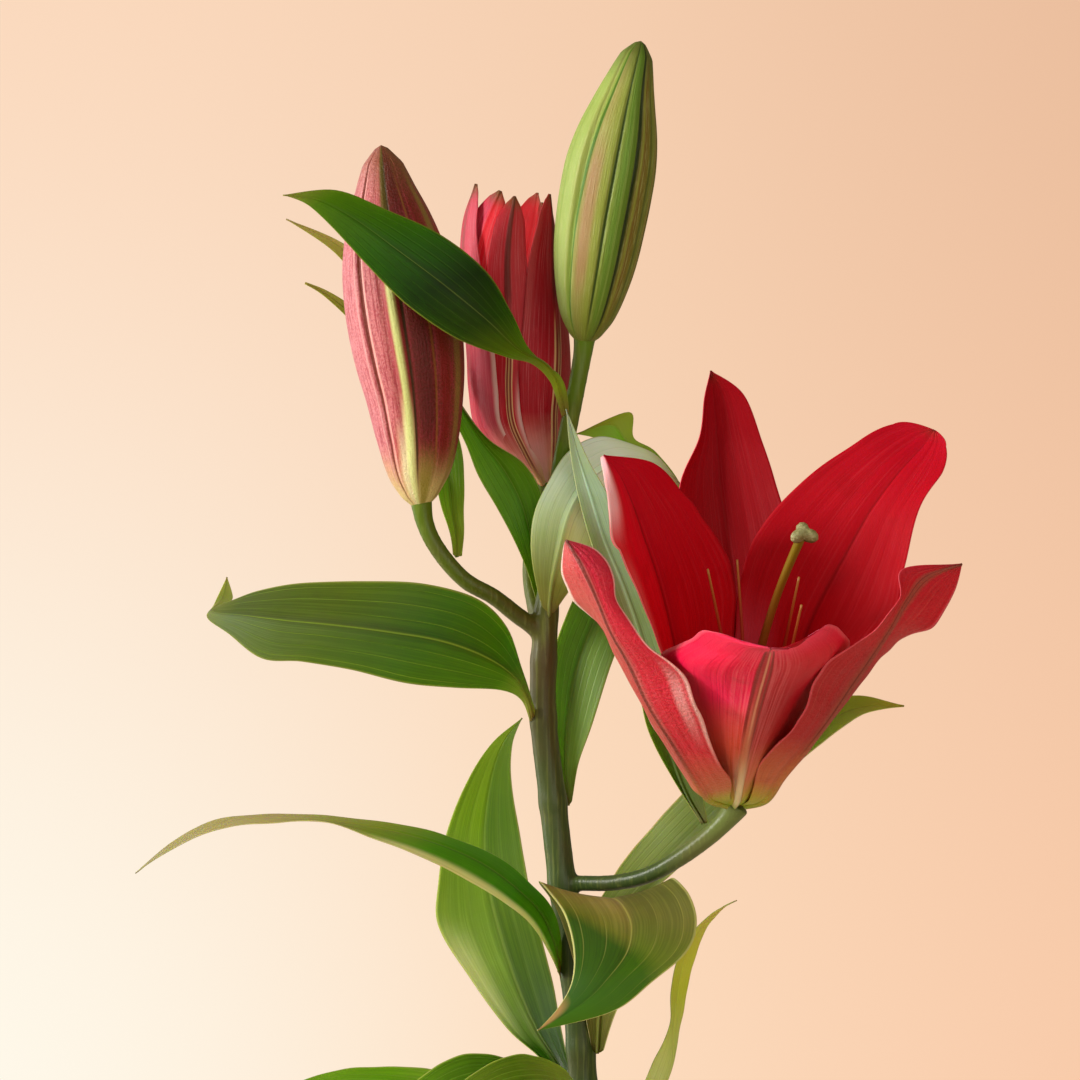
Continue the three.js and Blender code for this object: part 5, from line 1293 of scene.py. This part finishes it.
inside = tepal_finish("tepal inner face", INSIDE, INSIDE, DARK_RIB, [RED_TIP], **satin)
inside_frayed = tepal_finish(
    "right tepal inner face",
    INSIDE,
    INSIDE,
    DARK_RIB,
    [(0.14, 0.1, 0.2, (222, 80, 104), 0.4, 0.3, 0.46), (0.7, 0.7, 0.3, (206, 60, 30), 0.4, 0.22, 0.36),
     RED_TIP],
    **satin)
inside_painted_shade = tepal_finish(
    "back tepal inner face",
    INSIDE_PAINTED_SHADE,
    INSIDE_PAINTED_SHADE,
    DARK_RIB,
    [RED_TIP],
    **satin)
inside_pale = tepal_finish(
    "tepal inner face, pale margin",
    INSIDE_LIT,
    INSIDE,
    DARK_RIB,
    [(0.0, 0.0, 0.28, (248, 178, 186), 0.95, 0.74, 1.1),
     (0.06, 0.06, 0.2, (232, 96, 100), 0.5, 0.3, 0.66), (0.0, 0.0, 0.04, (250, 190, 190), 0.8, 0.3, 1.1)],
    **satin)
outside = tepal_finish(
    "tepal outer face",
    OUTSIDE,
    OUTSIDE,
    OUTER_RIB,
    MARGINS,
    rib_width=0.07, rib_share=0.8, pale=(250, 170, 170), pale_share=0.15, pebble=0.8)
outside_front = tepal_finish(
    "front tepal outer face",
    FRONT_SHADE_SIDE,
    FRONT_LIT,
    OUTER_RIB,
    [(0.52, 0.5, 0.11, (250, 236, 196), 0.6, 0.04, 0.2),
     (0.53, 0.52, 0.016, (112, 34, 30), 0.85, 0.3, 0.84),
     (0.5, 0.49, 0.008, (222, 150, 120), 0.8, 0.3, 0.8),
     (0.465, 0.465, 0.014, (132, 40, 34), 0.8, 0.25, 0.84), *MARGINS],
    rib_width=0.05, rib_share=0.7, pale=(246, 130, 140), pale_share=0.08, pebble=0.8, glint=0.12,
    lined=0.32)
# Outer face of the right tepal: darker all over as painted shade, with the real brown band of its midrib.
outside_shaded_brown = tepal_finish(
    "right tepal outer face", OUTSIDE_SHADED, OUTSIDE_SHADED, OUTER_RIB,
    [(0.5, 0.5, 0.13, (150, 74, 60), 0.7, 0.3, 1.1), (0.47, 0.47, 0.012, (104, 30, 24), 0.8, 0.3, 1.0),
     (0.53, 0.53, 0.012, (104, 30, 24), 0.8, 0.3, 1.0), *MARGINS],
    rib_width=0.1, rib_share=0.6, pale=(220, 110, 96), pale_share=0.22, pebble=1.6)
outside_pale = tepal_finish(
    "left tepal outer face",
    OUTSIDE,
    OUTSIDE_GREYISH,
    OUTER_RIB,
    [(0.8, 0.8, 0.3, (226, 116, 106), 0.35, 0.16, 1.1),
     # A narrow pale pink band low on the other half: a painted highlight.
     (0.14, 0.08, 0.08, (250, 200, 200), 0.4, 0.36, 0.5),
     (0.5, 0.5, 0.07, (232, 150, 146), 0.4, 0.3, 1.0), (0.5, 0.5, 0.03, (120, 40, 36), 0.9, 0.25, 1.1),
     (1.0, 1.0, 0.06, (250, 214, 204), 0.95, 0.3, 1.1), (0.0, 0.0, 0.05, (250, 200, 196), 0.7, 0.3, 1.1),
     RED_TIP],
    rib_width=0.03, rib_share=0.6, pale=(240, 116, 124), pale_share=0.25, pebble=4.0, glint=0.34,
    gloss=0.42, lined=0.15)
tepal(
    "tepal_outer_back",
    inside_painted_shade,
    outside,
    stations=[
        ((28, -20, 359.3), (29.3, -18, 359.2), (30.9, -20, 359.3)),
        ((25.1, -20, 363.1), (30, -15, 363.9), (35, -20, 363.1)),
        ((22.2, -25, 371.5), (30.9, -17, 372.2), (38.6, -25, 371.5)),
        ((18.6, -30, 389.1), (31.1, -22, 390.5), (42.3, -30, 389.1)),
        ((15.5, -28, 408), (30.9, -20, 409.5), (45.8, -28, 408)),
        ((13, -25, 427), (30, -17, 427.5), (47.5, -25, 427)),
        ((11.5, -21, 444.4), (27.5, -13, 446), (47.3, -21, 443.8)),
        ((12.8, -17, 461.2), (25.4, -10, 461.9), (43, -17, 460.6)),
        ((18.9, -14, 475.6), (24.4, -9, 475.6), (38.6, -14, 474.3)),
        ((20.5, -14, 488.3), (23.4, -11, 488), (32.6, -14, 489.3)),
        ((22.4, -14, 496.6),)],
    crease=0.3, wave=(0.5, 2, 0.4))

tepal(
    "tepal_outer_right",
    inside,
    outside_shaded_brown,
    stations=[
        ((33.9, -26, 359.5), (32.8, -29, 359.3), (31.5, -31, 359.4)),
        ((41.2, -25, 363.3), (39.3, -36, 361.4), (33.8, -42, 361.6)),
        ((47.7, -28, 371), (44.3, -46, 369), (36, -53, 371.4)),
        ((55, -36, 380), (51.2, -56, 378), (42.5, -65, 378.9)),
        ((62.9, -44, 390), (58.1, -65, 387.6), (49.3, -77, 388.8)),
        ((69.2, -52, 399.6), (65, -72, 398), (52.3, -87, 400.2)),
        ((75.4, -60, 408.1), (70.9, -79, 407.2), (59.9, -91, 407.3)),
        ((82.6, -68, 412.9), (76.2, -84, 415.9), (71.2, -93, 415.4)),
        ((90.3, -75, 416.4), (81, -87, 424.3), (78.6, -94, 424.9)),
        ((96.2, -81, 426.7), (87.2, -88, 431.4), (79.9, -91, 433.9)),
        ((98.4, -86, 435.4),)],
    crease=0.35, wave=(0.5, 2.5, 1.4))

tepal(
    "tepal_outer_left",
    inside,
    outside_pale,
    stations=[
        ((28.9, -33, 359.8), (27.4, -31, 359.4), (26.2, -29, 359.3)),
        ((27.7, -46, 362.1), (21.3, -38, 361.5), (19.5, -30, 361.9)),
        ((27.7, -57, 367.8), (18.2, -48, 365.9), (14.7, -36, 367.4)),
        ((22.7, -73, 376.9), (10.4, -65, 378.9), (6.3, -50, 379.8)),
        ((17, -91, 389.1), (2.4, -78, 391.6), (-1.1, -62, 393.2)),
        ((12.3, -99, 401.3), (-4.2, -89, 405.1), (-8.1, -73, 406.5)),
        ((2.4, -101, 409.6), (-9.9, -98, 415.1), (-13.7, -82, 417.1)),
        ((-8.1, -105, 423.2), (-13.9, -105, 424.4), (-21.5, -90, 424.9)),
        ((-9.3, -107, 432.1), (-17.9, -109, 432.7), (-25.2, -97, 432.3)),
        ((-14.8, -105, 439.7), (-21, -108, 437.9), (-24.9, -102, 439.4)),
        ((-24, -106, 442.8),)],
    crease=0.35, wave=(0.5, 2.5, 0))

tepal(
    "tepal_inner_right",
    inside_frayed,
    outside,
    stations=[
        ((31.4, -22, 359.4), (32.7, -23, 359.4), (33.2, -26, 359.5)),
        ((33.1, -20, 363.8), (37.7, -24, 364.5), (39.4, -33, 363.5)),
        ((33.9, -26, 373.1), (41.6, -31, 374.2), (45.4, -42, 373)),
        ((31.8, -33, 392.3), (45.2, -37, 392.4), (54.2, -50, 391.1)),
        ((30.2, -34, 411.2), (49.9, -39, 408.1), (67.5, -55, 407)),
        ((30.5, -34, 427), (55.2, -41, 421.7), (78.8, -54, 419.6)),
        ((35.9, -34, 444.4), (63.1, -41, 436.5), (82.4, -52, 434.6)),
        ((50, -35, 460.2), (71.6, -41, 451.6), (87, -48, 452.8)),
        ((65.6, -33, 472.2), (80.5, -38, 463.6), (94.8, -42, 464.8)),
        ((79.6, -29, 479.5), (88.6, -33, 472.2), (96, -36, 472.4)),
        ((92.6, -30, 477.6),)],
    crease=0.3, wave=(0.5, 2.5, 2), blunt=0.35)

tepal(
    "tepal_inner_left",
    inside_pale,
    outside,
    stations=[
        ((27.2, -28, 359.3), (26.3, -25, 359.5), (27.3, -21, 359.3)),
        ((22, -35, 363.3), (19.6, -27, 363.7), (22.9, -22, 364.1)),
        ((18.3, -44, 372.1), (16.7, -31, 372.3), (24.3, -28, 373.2)),
        ((12.8, -55, 387.1), (14.6, -39, 388.3), (26.1, -35, 392.3)),
        ((7, -65, 403.8), (11.6, -47, 404.2), (28.9, -35, 411.2)),
        ((2.2, -71, 418.5), (8.4, -54, 419), (30.5, -34, 427)),
        ((-3.4, -75, 431.9), (4.9, -59, 431.6), (25.4, -35, 440.3)),
        ((-8.7, -78, 442.2), (0.8, -62, 443.4), (19.3, -39, 450)),
        ((-7.8, -77, 453.3), (-3.3, -64, 455), (12.9, -45, 458.2)),
        ((-9.6, -74, 463), (-7.4, -66, 463.7), (3.4, -56, 466.9)),
        ((-12.1, -67, 469.3),)],
    crease=0.3, wave=(0.5, 3, 0), rolled=(-1, 0.68, 1.02, 3.5))

tepal(
    "tepal_inner_front",
    inside,
    outside_front,
    stations=[
        ((31.5, -31, 359.4), (29.6, -32, 359.4), (28, -31, 359.4)),
        ((35.1, -38, 362.8), (30.2, -45, 362.4), (25.4, -38, 362.4)),
        ((44.7, -43, 378.3), (31.3, -63, 374.2), (18, -45, 376.8)),
        ((53.3, -51, 391.7), (32.9, -85, 385.9), (11.8, -54, 388.6)),
        ((59.4, -63, 401.6), (34.5, -106, 395.6), (7.9, -67, 398.6)),
        ((63.8, -79, 410.9), (35.8, -125, 402.7), (5.4, -87, 406.7)),
        ((59.3, -99, 415.8), (36.6, -138, 407.1), (13.4, -103, 412.1)),
        ((54, -118, 416.3), (37, -146, 409.4), (19.1, -122, 415.1)),
        ((45.7, -138, 410.5), (37.1, -152, 410), (28.4, -140, 412.3)),
        ((37.3, -157, 410.4),)],
    crease=0.3, wave=(0.5, 2.5, 1))


# Floor, light and camera
# A pale floor, a warm backdrop that is lighter at the left, a soft window at the left with two weak
# lights that fill the shade, and a camera at the flower's height, level and 2.5 m in front.

FLOOR_RADIUS = 1.2
LIT_POINT = (0, 0, 0.42)
EYE = (-0.032, -2.5, 0.4428)
LENS_MM = 260.4
SENSOR_MM = 36
floor_mesh = bmesh.new()
bmesh.ops.create_circle(floor_mesh, cap_ends=True, segments=96, radius=FLOOR_RADIUS)
floor_data = bpy.data.meshes.new("floor")
floor_mesh.to_mesh(floor_data)
floor_mesh.free()
floor = bpy.data.objects.new("floor", floor_data)
bpy.context.scene.collection.objects.link(floor)
floor_paint, floor_tree, floor_shader = new_finish("pale floor")
floor_mottle = placed(floor_tree, MOTTLE, Patches=6.0, Grain=80.0)
pale = ramp(floor_tree, floor_mottle["Patches"], [(0.3, 236, 216, 196), (0.7, 242, 224, 206)])
coated(floor_tree, floor_shader, Base_Color=pale, Roughness=0.8)
floor_data.materials.append(floor_paint)

world = bpy.data.worlds.new("warm backdrop")
bpy.context.scene.world = world
world.use_nodes = True
sky = world.node_tree
sky.nodes.clear()
way = add(sky, "ShaderNodeSeparateXYZ", {0: add(sky, "ShaderNodeTexCoord").outputs["Generated"]})
sideways = rise(sky, way.outputs[0], -0.085, 0.105)
upwards = rise(sky, way.outputs[2], -0.085, 0.085)
low_part = ramp(sky, sideways, [(0, 255, 250, 236), (0.45, 253, 222, 192), (1, 248, 200, 166)])
high_part = ramp(sky, sideways, [(0, 251, 217, 189), (0.5, 244, 205, 174), (1, 233, 187, 154)])
seen = add(sky, "ShaderNodeBackground", {0: mixed(sky, upwards, low_part, high_part), 1: 1.0})
soft = add(sky, "ShaderNodeBackground", {0: (1, 0.86, 0.56, 1), 1: 0.26})
which = add(sky, "ShaderNodeMixShader", {0: add(sky, "ShaderNodeLightPath").outputs["Is Camera Ray"],
                                         1: soft.outputs[0], 2: seen.outputs[0]})
add(sky, "ShaderNodeOutputWorld", {0: which.outputs[0]})


def window(name, place, width, height, watts, colour):
    """A soft rectangular light at a place, aimed at the stem."""
    lamp = bpy.data.lights.new(name, "AREA")
    lamp.shape = "RECTANGLE"
    lamp.size, lamp.size_y = width, height
    lamp.energy = watts
    lamp.color = colour
    holder = bpy.data.objects.new(name, lamp)
    bpy.context.scene.collection.objects.link(holder)
    holder.location = place
    holder.rotation_euler = (Vector(LIT_POINT) - Vector(place)).to_track_quat("-Z", "Y").to_euler()


window("window", (-1.96, -0.64, 1.17), width=0.6, height=0.7, watts=54, colour=(1, 0.97, 0.92))
window("window_behind", (-1.5, 0.8, 0.6), width=0.8, height=1.2, watts=8, colour=(1, 0.98, 0.95))
window("front_fill", (0.7, -2.6, 1.2), width=2, height=2, watts=26, colour=(1, 0.95, 0.82))

camera = bpy.data.objects.new("camera", bpy.data.cameras.new("camera"))
bpy.context.scene.collection.objects.link(camera)
camera.location = EYE
camera.rotation_euler = (math.radians(90), 0, 0)
camera.data.lens = LENS_MM
camera.data.sensor_width = SENSOR_MM
camera.data.clip_start = 0.05
bpy.context.scene.camera = camera
bpy.context.scene.view_settings.view_transform = "Standard"

bpy.context.view_layer.update()
